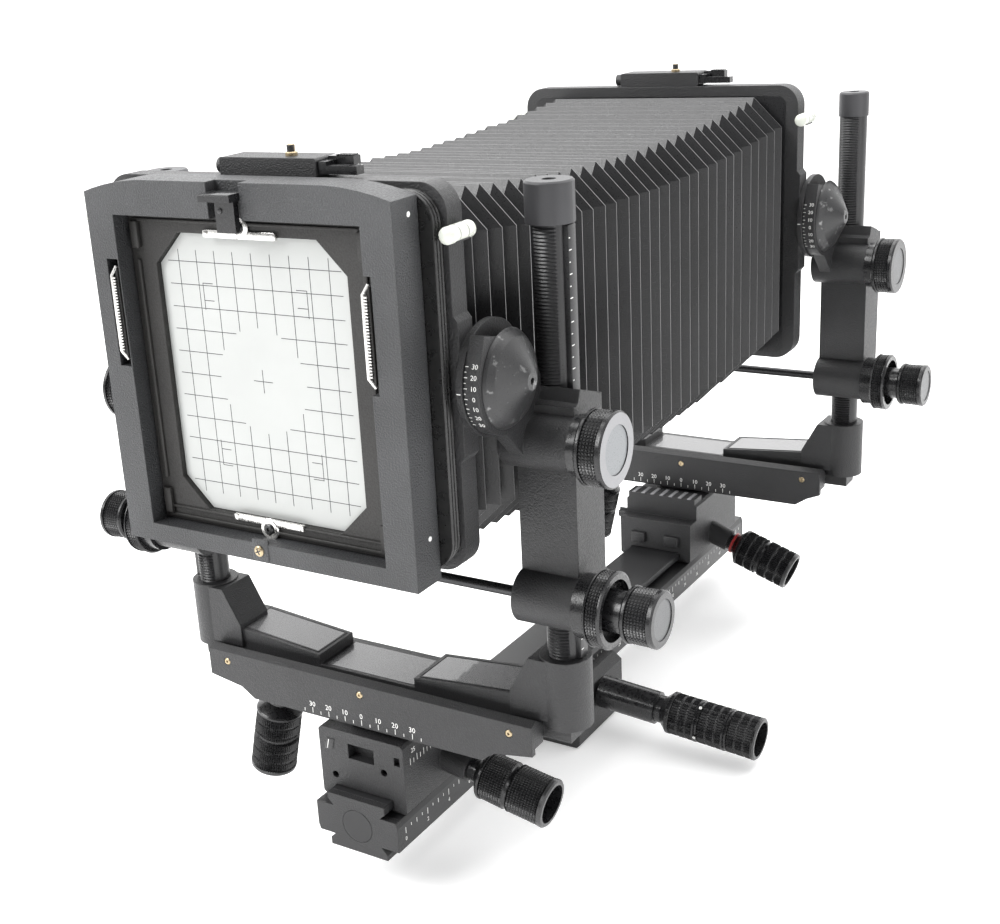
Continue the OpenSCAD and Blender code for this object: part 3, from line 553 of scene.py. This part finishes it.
def build_posts(end):
    """Posts with a rack cut into the side that faces -Y, and a scale strip on the rear pair."""
    lo, hi = box_mm(f"{end}_posts")
    centre_x = (lo.x + hi.x) / 2
    y = lo.y + 8
    pitch, depth, r, count = 1.55, 0.5, 8.0, 48
    rack_degrees = 50
    bm = bmesh.new()
    for side in (1, -1):
        x = centre_x + side * POST_X
        steps = int((hi.z - lo.z) / (pitch / 2))
        loops = []
        for k in range(steps + 1):
            z = min(lo.z + k * pitch / 2, hi.z)
            loop = []
            for j in range(count):
                a = 2 * math.pi * j / count - math.pi / 2
                in_rack = min(j, count - j) <= count * rack_degrees / 360
                reach = r - depth if in_rack and k % 2 else r
                loop.append(bm.verts.new((x + reach * math.cos(a), y + reach * math.sin(a), z)))
            loops.append(loop)
        for k in range(steps):
            for j in range(count):
                after = (j + 1) % count
                bm.faces.new((loops[k][j], loops[k][after], loops[k + 1][after], loops[k + 1][j]))
        bm.faces.new(loops[0][::-1])
        bm.faces.new(loops[-1])
        if end == "rear":
            x0, x1 = sorted((x + side * 6.5, x + side * 9.8))
            top = box_mm("rear_post_caps")[0].z
            base = box_mm("rear_bearer")[1].z
            add_box(bm, (x0, y - 3.4, base + 0.6), (x1, y + 3.4, top - 0.5), 0, 0.3)
            out = x + side * 9.85
            for k in range(int((top - base) / 5) - 1):
                z = base + 5 + 5 * k
                long = 2.2 if k % 2 == 0 else 1.1
                x0, x1 = sorted((out, out - side * 0.2))
                add_box(bm, (x0, y - 3, z - 0.2), (x1, y - 3 + long, z + 0.2), 1, 0)
    finish_piece(f"{end}_post_racks", bm, [POST, WHITE], f"{end}_shift_base", [f"{end}_posts"],
                 50)


def build_shift_scale(end):
    """Ticks every 5 mm, digits every 10 mm and three screws on the shift bar's face."""
    lo, hi = box_mm(f"{end}_shift_bar")
    mid = (lo.x + hi.x) / 2
    y = lo.y
    bm = bmesh.new()
    for k in range(-7, 8):
        x = mid + 5 * k
        tall = 2.9 if k % 2 == 0 else 1.8
        add_box(bm, (x - 0.16, y - 0.06, lo.z + 1.2), (x + 0.16, y + 0.1, lo.z + 1.2 + tall), 0, 0)
        if k % 2 == 0:
            add_text(bm, str(abs(5 * k)), 3.9, facing((x, y - 0.02, lo.z + 6), (1, 0, 0), (0, 0, 1)))
    finish_piece(f"{end}_shift_scale", bm, [WHITE], f"{end}_shift_base", ())
    bm = bmesh.new()
    for x in (mid - 84, mid, mid + 84):
        place = facing((x, y + 0.9, hi.z - 7.5), (1, 0, 0), (0, 0, 1))
        add_turned(bm, [(0, 1.9), (0.7, 1.9), (1.1, 1.5), (1.1, 0.7), (0.5, 0.6)], place, segments=24)
    finish_piece(f"{end}_bar_screws", bm, [BRASS], f"{end}_shift_base", ())


def build_tilt_scale(end):
    """Digits and ticks round the sector plate on both sides."""
    pivot = Vector(JOINTS[f"{end}_tilt"]["pos_m"]) / MM
    bm = bmesh.new()
    r, zero_degrees, step_degrees = 23.45, 187, 5.4
    for side in (1, -1):
        x_in = pivot.x + side * TICK_X
        for k in range(-6, 7):
            a = math.radians(zero_degrees - step_degrees * k)
            spot = Vector((x_in, pivot.y + r * math.cos(a), pivot.z + r * math.sin(a)))
            up = (0, math.sin(a), -math.cos(a))
            long = 1.5 if k % 2 == 0 else 0.9
            turn = facing(spot, (side, 0, 0), up)
            add_box(bm, (0.1, -0.14, -0.05), (long, 0.14, 0.08), 0, 0, turn)
            if k % 2 == 0:
                label = Vector((pivot.x + side * LABEL_X, spot.y, spot.z))
                add_text(bm, str(abs(5 * k)), 2.9, facing(label, (1, 0, 0), up))
    finish_piece(f"{end}_tilt_scale", bm, [WHITE], f"{end}_lift", ())
    bm = bmesh.new()
    for side in (1, -1):
        x = pivot.x + side * INDEX_X
        add_box(bm, (x - 0.9, pivot.y - 24.65, pivot.z - 1), (x + 0.9, pivot.y - 24.3, pivot.z - 0.6), 0, 0)
    finish_piece(f"{end}_tilt_index", bm, [WHITE], f"{end}_tilt_frame", ())


def build_rail_scale():
    """Ticks every 5 mm and a digit every 20 mm on the rail's right side."""
    lo, hi = box_mm("rail")
    x, tick_top = 24.5, 38.2
    bm = bmesh.new()
    for k in range(int((hi.y - lo.y) / 5)):
        y = lo.y + 3 + 5 * k
        tall = 3.4 if k % 4 == 0 else (2.4 if k % 2 == 0 else 1.5)
        add_box(bm, (x - 0.1, y - 0.2, tick_top - tall), (x + 0.06, y + 0.2, tick_top), 0, 0)
        if k % 4 == 0:
            add_text(bm, str(k // 2), 3.2, facing((x + 0.02, y, 31.8), (0, 1, 0), (0, 0, 1)))
    finish_piece("rail_scale", bm, [WHITE], "rail_base", ())


# ---------------------------------------------------------------- back

def build_glass():
    """The grid on the ground glass: 10 mm squares, a clear disc, a cross and four format marks."""
    lo, hi = box_mm("ground_glass")
    y = lo.y - 0.03
    mid_z = (lo.z + hi.z) / 2
    half_x, half_z, cut = (hi.x - lo.x) / 2, (hi.z - lo.z) / 2, 14
    width, clear_r = 0.3, 23.5
    bm = bmesh.new()

    def line(x0, z0, x1, z1):
        """A thin line between two points, measured from the middle of the glass."""
        add_box(bm, (min(x0, x1) - width / 2, y - 0.02, mid_z + min(z0, z1) - width / 2),
                (max(x0, x1) + width / 2, y + 0.05, mid_z + max(z0, z1) + width / 2), 0, 0)

    def reach(offset, half_here, half_across):
        """How far a line at this offset runs before the cut corners."""
        return min(half_here, half_here + half_across - cut - abs(offset)) - 1

    for k in range(-4, 5):
        x = 10 * k
        far = min(reach(x, half_z, half_x), 55)
        if abs(x) < clear_r:
            near = math.sqrt(clear_r ** 2 - x * x)
            line(x, near, x, far)
            line(x, -far, x, -near)
        else:
            line(x, -far, x, far)
    for k in range(-5, 6):
        z = 10 * k
        far = min(reach(z, half_x, half_z), 46)
        if abs(z) < clear_r:
            near = math.sqrt(clear_r ** 2 - z * z)
            line(near, z, far, z)
            line(-far, z, -near, z)
        else:
            line(-far, z, far, z)
    line(-5, 0, 5, 0)
    line(0, -5, 0, 5)
    for sx in (-1, 1):
        for sz in (-1, 1):
            line(sx * 27.8, sz * 29.5, sx * 27.8, sz * 41)
            line(sx * 27.8, sz * 41, sx * 22.5, sz * 41)
            line(sx * 27.8, sz * 33.5, sx * 22.5, sz * 33.5)
    finish_piece("glass_grid", bm, [INK], "glass_holder", ())


def build_clips():
    """Bright strips with a ring and a screw, at the top and bottom of the glass."""
    lo, hi = box_mm("glass_clips")
    glass_lo, glass_hi = box_mm("ground_glass")
    x = (lo.x + hi.x) / 2
    y = lo.y + 1.2
    bm = bmesh.new()
    for s, z in ((1, glass_hi.z), (-1, glass_lo.z)):
        add_box(bm, (x - 18.5, y - 0.4, z - 1.7 + s * 0.6), (x + 18.5, y + 0.4, z + 1.7 + s * 0.6), 0, 0.3)
        for side in (-1, 1):
            tip = x + side * 18.2
            add_box(bm, (tip - 1, y - 0.9, z - 1.5 + s * 0.6), (tip + 1, y + 0.9, z + 1.5 + s * 0.6), 0, 0.3)
        ring = facing((x, y, z + s * 3.8), (1, 0, 0), (0, 0, 1))
        add_turned(bm, [(-0.5, 5), (0.3, 5), (0.7, 4.4), (0.7, 3), (-0.2, 2.8)], ring, 0, segments=32)
        add_turned(bm, [(0.2, 2.5), (1.0, 2.5), (1.4, 1.9), (1.4, 1.1), (0.7, 1.0)], ring, 1, segments=24)
    finish_piece("clip_springs", bm, [CHROME, GLOSSY], "glass_holder", ["glass_clips"])


def build_bails():
    """Bright edge of each bail with its row of small teeth."""
    bm = bmesh.new()
    for node in ("left_bail", "right_bail"):
        lo, hi = box_mm(node)
        x = (lo.x + hi.x) / 2
        path = [(x + 1.6, lo.y + 2.2, lo.z), (x - 0.6, lo.y + 0.8, lo.z + 4),
                (x - 0.6, lo.y + 0.8, hi.z - 4), (x + 1.6, lo.y + 2.2, hi.z)]
        add_tube(bm, path, 0.75, 0, closed=False)
        for k in range(26):
            z = lo.z + 5 + k * (hi.z - lo.z - 10) / 25
            add_box(bm, (x + 0.1, lo.y + 0.3, z - 0.35), (x + 1.5, lo.y + 1.5, z + 0.35), 0, 0.1)
        add_box(bm, (x + 0.4, lo.y + 1.6, lo.z + 1), (x + 2, lo.y + 5, hi.z - 1), 1, 0.2)
    finish_piece("bail_springs", bm, [CHROME, INNER], "glass_holder", ["left_bail", "right_bail"])


def rounded_outline(half_w, half_h, r, y, mid_x, mid_z, steps=6):
    """Points of a rounded rectangle at one y."""
    points = []
    for cx, cz, start in ((1, 1, 0), (-1, 1, 90), (-1, -1, 180), (1, -1, 270)):
        for k in range(steps + 1):
            a = math.radians(start + 90 * k / steps)
            x = mid_x + cx * (half_w - r) + r * math.cos(a)
            points.append((x, y, mid_z + cz * (half_h - r) + r * math.sin(a)))
    return points


def build_back_details():
    """Beads of the light trap, side screws, the gate's tab and rails, and the latch's fold."""
    lo, hi = box_mm("spring_back")
    mid_z = (box_mm("rear_frame")[0].z + box_mm("rear_frame")[1].z) / 2
    panel_lo, panel_hi = box_mm("back_panel")
    bm = bmesh.new()
    for k in range(3):
        y = panel_lo.y + 1 + k * 2.1
        half_h = (panel_hi.z - panel_lo.z) / 2 - 0.4
        add_tube(bm, rounded_outline(panel_hi.x - 0.4, half_h, 12, y, 0, mid_z), 1.0)
    finish_piece("gasket_beads", bm, [RUBBER], "rear_tilt_frame", ())
    bm = bmesh.new()
    for z in (350, 217):
        for side in (1, -1):
            place = facing((side * (hi.x - 0.3), lo.y + 11, z), (0, side, 0), (0, 0, 1))
            add_turned(bm, [(0, 1.1), (0.5, 1.1), (0.7, 0.8)], place, 0, segments=20)
    finish_piece("back_side_screws", bm, [WHITE], "rear_tilt_frame", ())
    # tab with a cross-head screw under the gate
    bm = bmesh.new()
    z = 201.9
    add_box(bm, (-6.6, lo.y - 0.35, z - 4.8), (2.6, lo.y + 1, z + 5.4), 0, 0.9)
    place = facing((-2.5, lo.y - 0.3, z), (1, 0, 0), (0, 0, 1))
    add_turned(bm, [(0, 2.5), (0.5, 2.5), (1, 1.8), (1.1, 0.6)], place, 1, segments=28)
    for turn in (0.4, 0.4 + math.pi / 2):
        add_box(bm, (-1.5, -0.28, 0.8), (1.5, 0.28, 1.16), 2, 0, place @ Matrix.Rotation(turn, 4, "Z"))
    finish_piece("gate_tab", bm, [BACK, BRASS, GLOSSY], "rear_tilt_frame", ())
    # rails inside the gate
    frame_lo, frame_hi = box_mm("glass_frame")
    bm = bmesh.new()
    y = frame_lo.y
    for z, tall in ((frame_lo.z + 2.2, 1.6), (frame_lo.z + 6.4, 1.2), (frame_hi.z - 2.6, 1.4)):
        add_box(bm, (frame_lo.x + 3, y - 1, z - tall / 2), (frame_hi.x - 3, y + 1, z + tall / 2), 0, 0.3)
    for x in (frame_lo.x + 4, frame_hi.x - 4):
        for z in (frame_lo.z + 9, frame_hi.z - 9):
            add_box(bm, (x - 2.2, y - 2.2, z - 6), (x + 2.2, y + 1, z + 6), 0, 0.6)
        add_box(bm, (x - 1, y - 1.2, frame_lo.z + 20), (x + 1, y + 1, frame_hi.z - 20), 0, 0.4)
    finish_piece("gate_rails", bm, [INNER], "glass_holder", ())
    lo, hi = box_mm("film_latch")
    bm = bmesh.new()
    place = facing((-2.4, lo.y + 3.9, hi.z - 7), (1, 0, 0), (0, 0, 1))
    add_turned(bm, [(0, 1.2), (0.3, 1.2), (0.4, 0.9)], place, 0, segments=20)
    add_box(bm, (-10, lo.y - 0.3, hi.z - 0.5), (6.4, lo.y + 9, hi.z + 0.25), 0, 0.35)
    finish_piece("latch_fold", bm, [GLOSSY], "latch", ())


# ---------------------------------------------------------------- castings' details

PAD_W = 29
PAD_END_X, PAD_RISE = 84.1, 4.8


def build_inlays(end):
    """Satin inlays with a raised border on the two sloping pads and the middle plate."""
    lo, hi = box_mm(f"{end}_bearer")
    mid = (lo.x + hi.x) / 2
    y0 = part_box(f"{end}_shift_bar")[0].y / MM + 10.6
    y1 = y0 + PAD_W
    bm = bmesh.new()
    for side, x_in in ((1, 26), (-1, 31)):
        run = PAD_END_X - x_in
        slope = math.atan2(PAD_RISE, run)
        length = math.hypot(PAD_RISE, run)
        start = (mid + side * x_in, y0, BEARER_TOP + 5.1)
        place = facing(start, (side * math.cos(slope), 0, math.sin(slope)), (0, 1, 0))
        low, high = (-0.3, 0.12) if side > 0 else (-0.12, 0.3)
        add_box(bm, (3, 3, low), (length - 1.5, 26, high), 0, 0, place)
        far = length - 0.6
        borders = ((2, 2, far, 2.6), (2, 26.4, far, 27), (2, 2, 2.6, 27), (far - 0.6, 2, far, 27))
        edge_low, edge_high = (low, high * 2.4) if side > 0 else (low * 2, high)
        for u0, v0, u1, v1 in borders:
            add_box(bm, (u0, v0, edge_low), (u1, v1, edge_high), 1, 0.1, place)
    add_box(bm, (mid - 29, y0 + 2, BEARER_TOP - 0.3), (mid + 24, y1 - 0.5, BEARER_TOP + 0.12), 0, 0)
    finish_piece(f"{end}_pad_inlays", bm, [INLAY, CAST], f"{end}_shift_base", ())


def build_rail_end():
    """A plain disc on each end cap."""
    lo, hi = box_mm("rail_end_caps")
    bm = bmesh.new()
    for y, out in ((lo.y, -1), (hi.y, 1)):
        place = facing((0, y - out * 0.5, 35.4), (-out, 0, 0), (0, 0, 1))
        add_turned(bm, [(0, 8.9), (0.4, 8.9), (0.6, 8.6), (0.6, 0.3)], place, 0, segments=64)
    finish_piece("end_discs", bm, [ANODISED], "rail_base", ())


def build_carriage_details():
    """Marks on the rear block, ribs and steps on the front one, and the red focus marks."""
    lo, hi = box_mm("rear_carriage")
    y = lo.y
    bm = bmesh.new()
    # slanted index mark, and a white scale on the right side
    place = facing((-19, y - 0.06, hi.z - 9), (1, 0, 0), (0.25, 0, 1))
    add_box(bm, (-2.4, -3.2, 0), (2.4, 3.2, 0.25), 0, 0.1, place)
    add_box(bm, (-1, -2.6, 0.2), (-0.6, 2.6, 0.32), 1, 0, place)
    side_x = CARRIAGE_HALF
    for k in range(7):
        ty = y + 6 + 3 * k
        top = hi.z - (10 if k % 2 else 9)
        add_box(bm, (side_x - 0.1, ty - 0.15, hi.z - 12.5), (side_x + 0.06, ty + 0.15, top), 1, 0)
    add_text(bm, "25", 3.6, facing((side_x + 0.02, y + 9, hi.z - 5.6), (0, 1, 0), (0, 0, 1)), 1)
    finish_piece("rear_block_marks", bm, [GLOSSY, WHITE], "rear_block", ())
    # bright ribs on the front block's plate
    lo, hi = box_mm("front_carriage")
    bm = bmesh.new()
    plate_y = lo.y + 10.5
    for k in range(7):
        x = -20 + k * 40 / 6
        add_box(bm, (x - 1.3, plate_y - 0.5, hi.z - 0.3), (x + 1.3, plate_y + 11.8, hi.z + 0.5), 0, 0.5)
    finish_piece("front_block_ribs", bm, [FACE], "front_block", ())
    bm = bmesh.new()
    for x in (-12, 12):
        add_box(bm, (x - 5, lo.y - 2.2, 55), (x + 5, lo.y + 0.5, 62), 0, 0.6)
    add_box(bm, (-25, lo.y + 6, 64), (-8, lo.y + 11, 70.8), 0, 0.5)
    add_box(bm, (6, lo.y + 4, 64), (25, lo.y + 11, 68.4), 0, 0.5)
    finish_piece("front_block_steps", bm, [CAST], "front_block", ())
    # red dot on the rear neck and red marks on the front one
    for end in ENDS:
        place = joint_frame(f"{end}_focus_turn")
        bm = bmesh.new()
        if end == "rear":
            around = Matrix.Rotation(math.radians(-60), 4, "Z")
            spot = place @ Matrix.Translation((0, 0, 36)) @ around @ Matrix.Translation((7.3, 0, 0))
            dot = [(0, 1.5), (0.4, 1.5), (0.5, 0.9)]
            add_turned(bm, dot, spot @ Matrix.Rotation(math.pi / 2, 4, "Y"), 0, segments=20)
        else:
            add_turned(bm, [(43, 6.6), (43, 7.3), (44.6, 7.3), (44.6, 6.6)], place, 0, segments=40)
        finish_piece(f"{end}_focus_mark", bm, [RED], f"{end}_block", ())


def build_vials(end):
    """Two slim vials with rounded ends and a dark ring at each line."""
    lo, hi = box_mm(f"{end}_level_vials")
    r, cap = 3.5, 2.2
    bm = bmesh.new()
    for x in (lo.x + 4.4, hi.x - 4.4):
        place = facing((x, (lo.y + hi.y) / 2, (lo.z + hi.z) / 2), (1, 0, 0), (0, 0, 1))
        half = (hi.y - lo.y) / 2
        rows = [(-half + cap * (1 - math.cos(a)), max(0.3, r * math.sin(a)))
                for a in (0.1, 0.5, 0.9, 1.25, 1.57)]
        rows += [(-3.2, r), plain(-3.2, r + 0.08, 1), plain(-2.9, r + 0.08, 1), (-2.9, r),
                 (2.9, r), plain(2.9, r + 0.08, 1), plain(3.2, r + 0.08, 1), (3.2, r)]
        rows += [(-z, rr) for z, rr in rows[:5][::-1]]
        add_turned(bm, rows, place, segments=40)
        add_box(bm, (x - 2.6, lo.y + 5, lo.z + 1.2), (x + 2.6, hi.y - 5, lo.z + 2.6), 2, 0.3)
    finish_piece(f"{end}_vial_tubes", bm, [VIAL, INK, CAST], f"{end}_tilt_frame", [f"{end}_level_vials"])


def build_housing_details(end):
    """Ribs on the lever's tabs and a pin on the housing."""
    lo, hi = box_mm(f"{end}_top_lever")
    bm = bmesh.new()
    for k in range(6):
        x = lo.x + 4.6 + k * 1.4
        add_box(bm, (x - 0.35, hi.y - 5, hi.z - 0.2), (x + 0.35, hi.y, hi.z + 0.6), 0, 0.15)
    finish_piece(f"{end}_lever_ribs", bm, [GLOSSY], f"{end}_top_slider", ())
    lo, hi = box_mm(f"{end}_top_housing")
    mid_y = (lo.y + hi.y) / 2
    pin_x = (lo.x + hi.x) / 2 + 10.2
    bm = bmesh.new()
    add_turned(bm, [(-0.2, 2.6), (1.2, 2.6), (1.6, 2.2), (1.6, 1.7), (4.2, 1.7), (4.6, 1.2)],
               Matrix.Translation((pin_x, mid_y, hi.z - 4.4)), 0, segments=28)
    finish_piece(f"{end}_housing_pin", bm, [BRASS], f"{end}_tilt_frame", ())


build_bellows()
build_knobs()
build_clamp_grip()
for name in ENDS:
    build_posts(name)
    build_shift_scale(name)
    build_tilt_scale(name)
    build_inlays(name)
    build_housing_details(name)
    build_vials(name)
build_rail_scale()
build_glass()
build_clips()
build_bails()
build_back_details()
build_rail_end()
build_carriage_details()


# ---------------------------------------------------------------- stage, light and camera

def build_stage():
    """A pale floor just under the part, which glows a little so that it renders white."""
    size = 6.0
    mesh = bpy.data.meshes.new("floor")
    corners = [(-size, -size, 0), (size, -size, 0), (size, size, 0), (-size, size, 0)]
    mesh.from_pydata(corners, [], [(0, 1, 2, 3)])
    floor = bpy.data.objects.new("floor", mesh)
    bpy.context.scene.collection.objects.link(floor)
    mesh.materials.append(textured("floor_pale", (0.92, 0.92, 0.92), 0.6, 4 * MM, 0.02, vary=0.01))
    floor.location.z = -0.0005
    glow = mesh.materials[0].node_tree.nodes["Principled BSDF"]
    glow.inputs["Emission Color"].default_value = (1, 1, 1, 1)
    glow.inputs["Emission Strength"].default_value = 0.3


def area_light(name, place, target, size, power):
    """A rectangular lamp at place that points at target, in metres and watts."""
    data = bpy.data.lights.new(name, "AREA")
    data.shape = "RECTANGLE"
    data.size, data.size_y = size
    data.energy = power
    lamp = bpy.data.objects.new(name, data)
    lamp.location = place
    lamp.rotation_euler = (Vector(target) - Vector(place)).to_track_quat("-Z", "Y").to_euler()
    bpy.context.scene.collection.objects.link(lamp)


# the side of the world that glows, where its fade starts and ends, and its two strengths
BACKDROP_SIDE = Vector((-0.5, 0.72, 0.48)).normalized()
GLOW_FADE = (-0.25, 0.7)
GLOW_STRENGTH = (0.28, 2.2)

# the camera that fits the corners of the glass grid: metres, then azimuth, elevation and roll
CAMERA_AT = (0.395636, -0.703877, 0.443215)
CAMERA_DEGREES = (35.077, 19.499, -4.223)
PHOTO_PIXELS, FOCAL_PIXELS = 1000, 1482.684
SENSOR = 36


def build_light():
    """A world that is bright towards the backdrop and dim behind the viewer, and three lamps."""
    world = bpy.data.worlds.new("studio")
    bpy.context.scene.world = world
    world.use_nodes = True
    nodes, links = world.node_tree.nodes, world.node_tree.links
    place = nodes.new("ShaderNodeTexCoord")
    toward = nodes.new("ShaderNodeVectorMath")
    toward.operation = "DOT_PRODUCT"
    toward.inputs[1].default_value = BACKDROP_SIDE
    links.new(place.outputs["Generated"], toward.inputs[0])
    glow = nodes.new("ShaderNodeMapRange")
    glow.interpolation_type = "SMOOTHSTEP"
    glow.inputs["From Min"].default_value, glow.inputs["From Max"].default_value = GLOW_FADE
    glow.inputs["To Min"].default_value, glow.inputs["To Max"].default_value = GLOW_STRENGTH
    links.new(toward.outputs["Value"], glow.inputs["Value"])
    nodes["Background"].inputs["Color"].default_value = (1, 1, 1, 1)
    links.new(glow.outputs["Result"], nodes["Background"].inputs["Strength"])
    area_light("overhead", (0.1, 0.3, 1.7), (0, 0, 0.2), (1.8, 1.8), 20)
    area_light("right_side", (1.6, -0.3, 0.7), (0, -0.1, 0.25), (1.0, 1.2), 7)
    area_light("upper_left", (-0.9, -1.3, 1.5), (0, -0.1, 0.25), (1.2, 1.2), 42)


def build_camera():
    """The photo's camera, with a smaller shift than its best fit asks for."""
    data = bpy.data.cameras.new("camera")
    camera = bpy.data.objects.new("camera", data)
    azimuth, elevation, roll = (math.radians(v) for v in CAMERA_DEGREES)
    back = Vector((math.sin(azimuth) * math.cos(elevation), -math.cos(azimuth) * math.cos(elevation),
                   math.sin(elevation)))
    right = (-back).cross(Vector((0, 0, 1))).normalized()
    up = right.cross(-back)
    turned_right = math.cos(roll) * right + math.sin(roll) * up
    turned_up = math.cos(roll) * up - math.sin(roll) * right
    look = Matrix((turned_right, turned_up, back)).transposed().to_4x4()
    camera.matrix_world = Matrix.Translation(CAMERA_AT) @ look
    data.sensor_width = SENSOR
    data.lens = FOCAL_PIXELS * SENSOR / PHOTO_PIXELS
    data.shift_x = 0.1
    data.shift_y = 0.018
    data.clip_start = 0.01
    bpy.context.scene.collection.objects.link(camera)
    bpy.context.scene.camera = camera


build_stage()
build_light()
build_camera()
bpy.context.scene.view_settings.view_transform = "Standard"
bpy.context.view_layer.update()
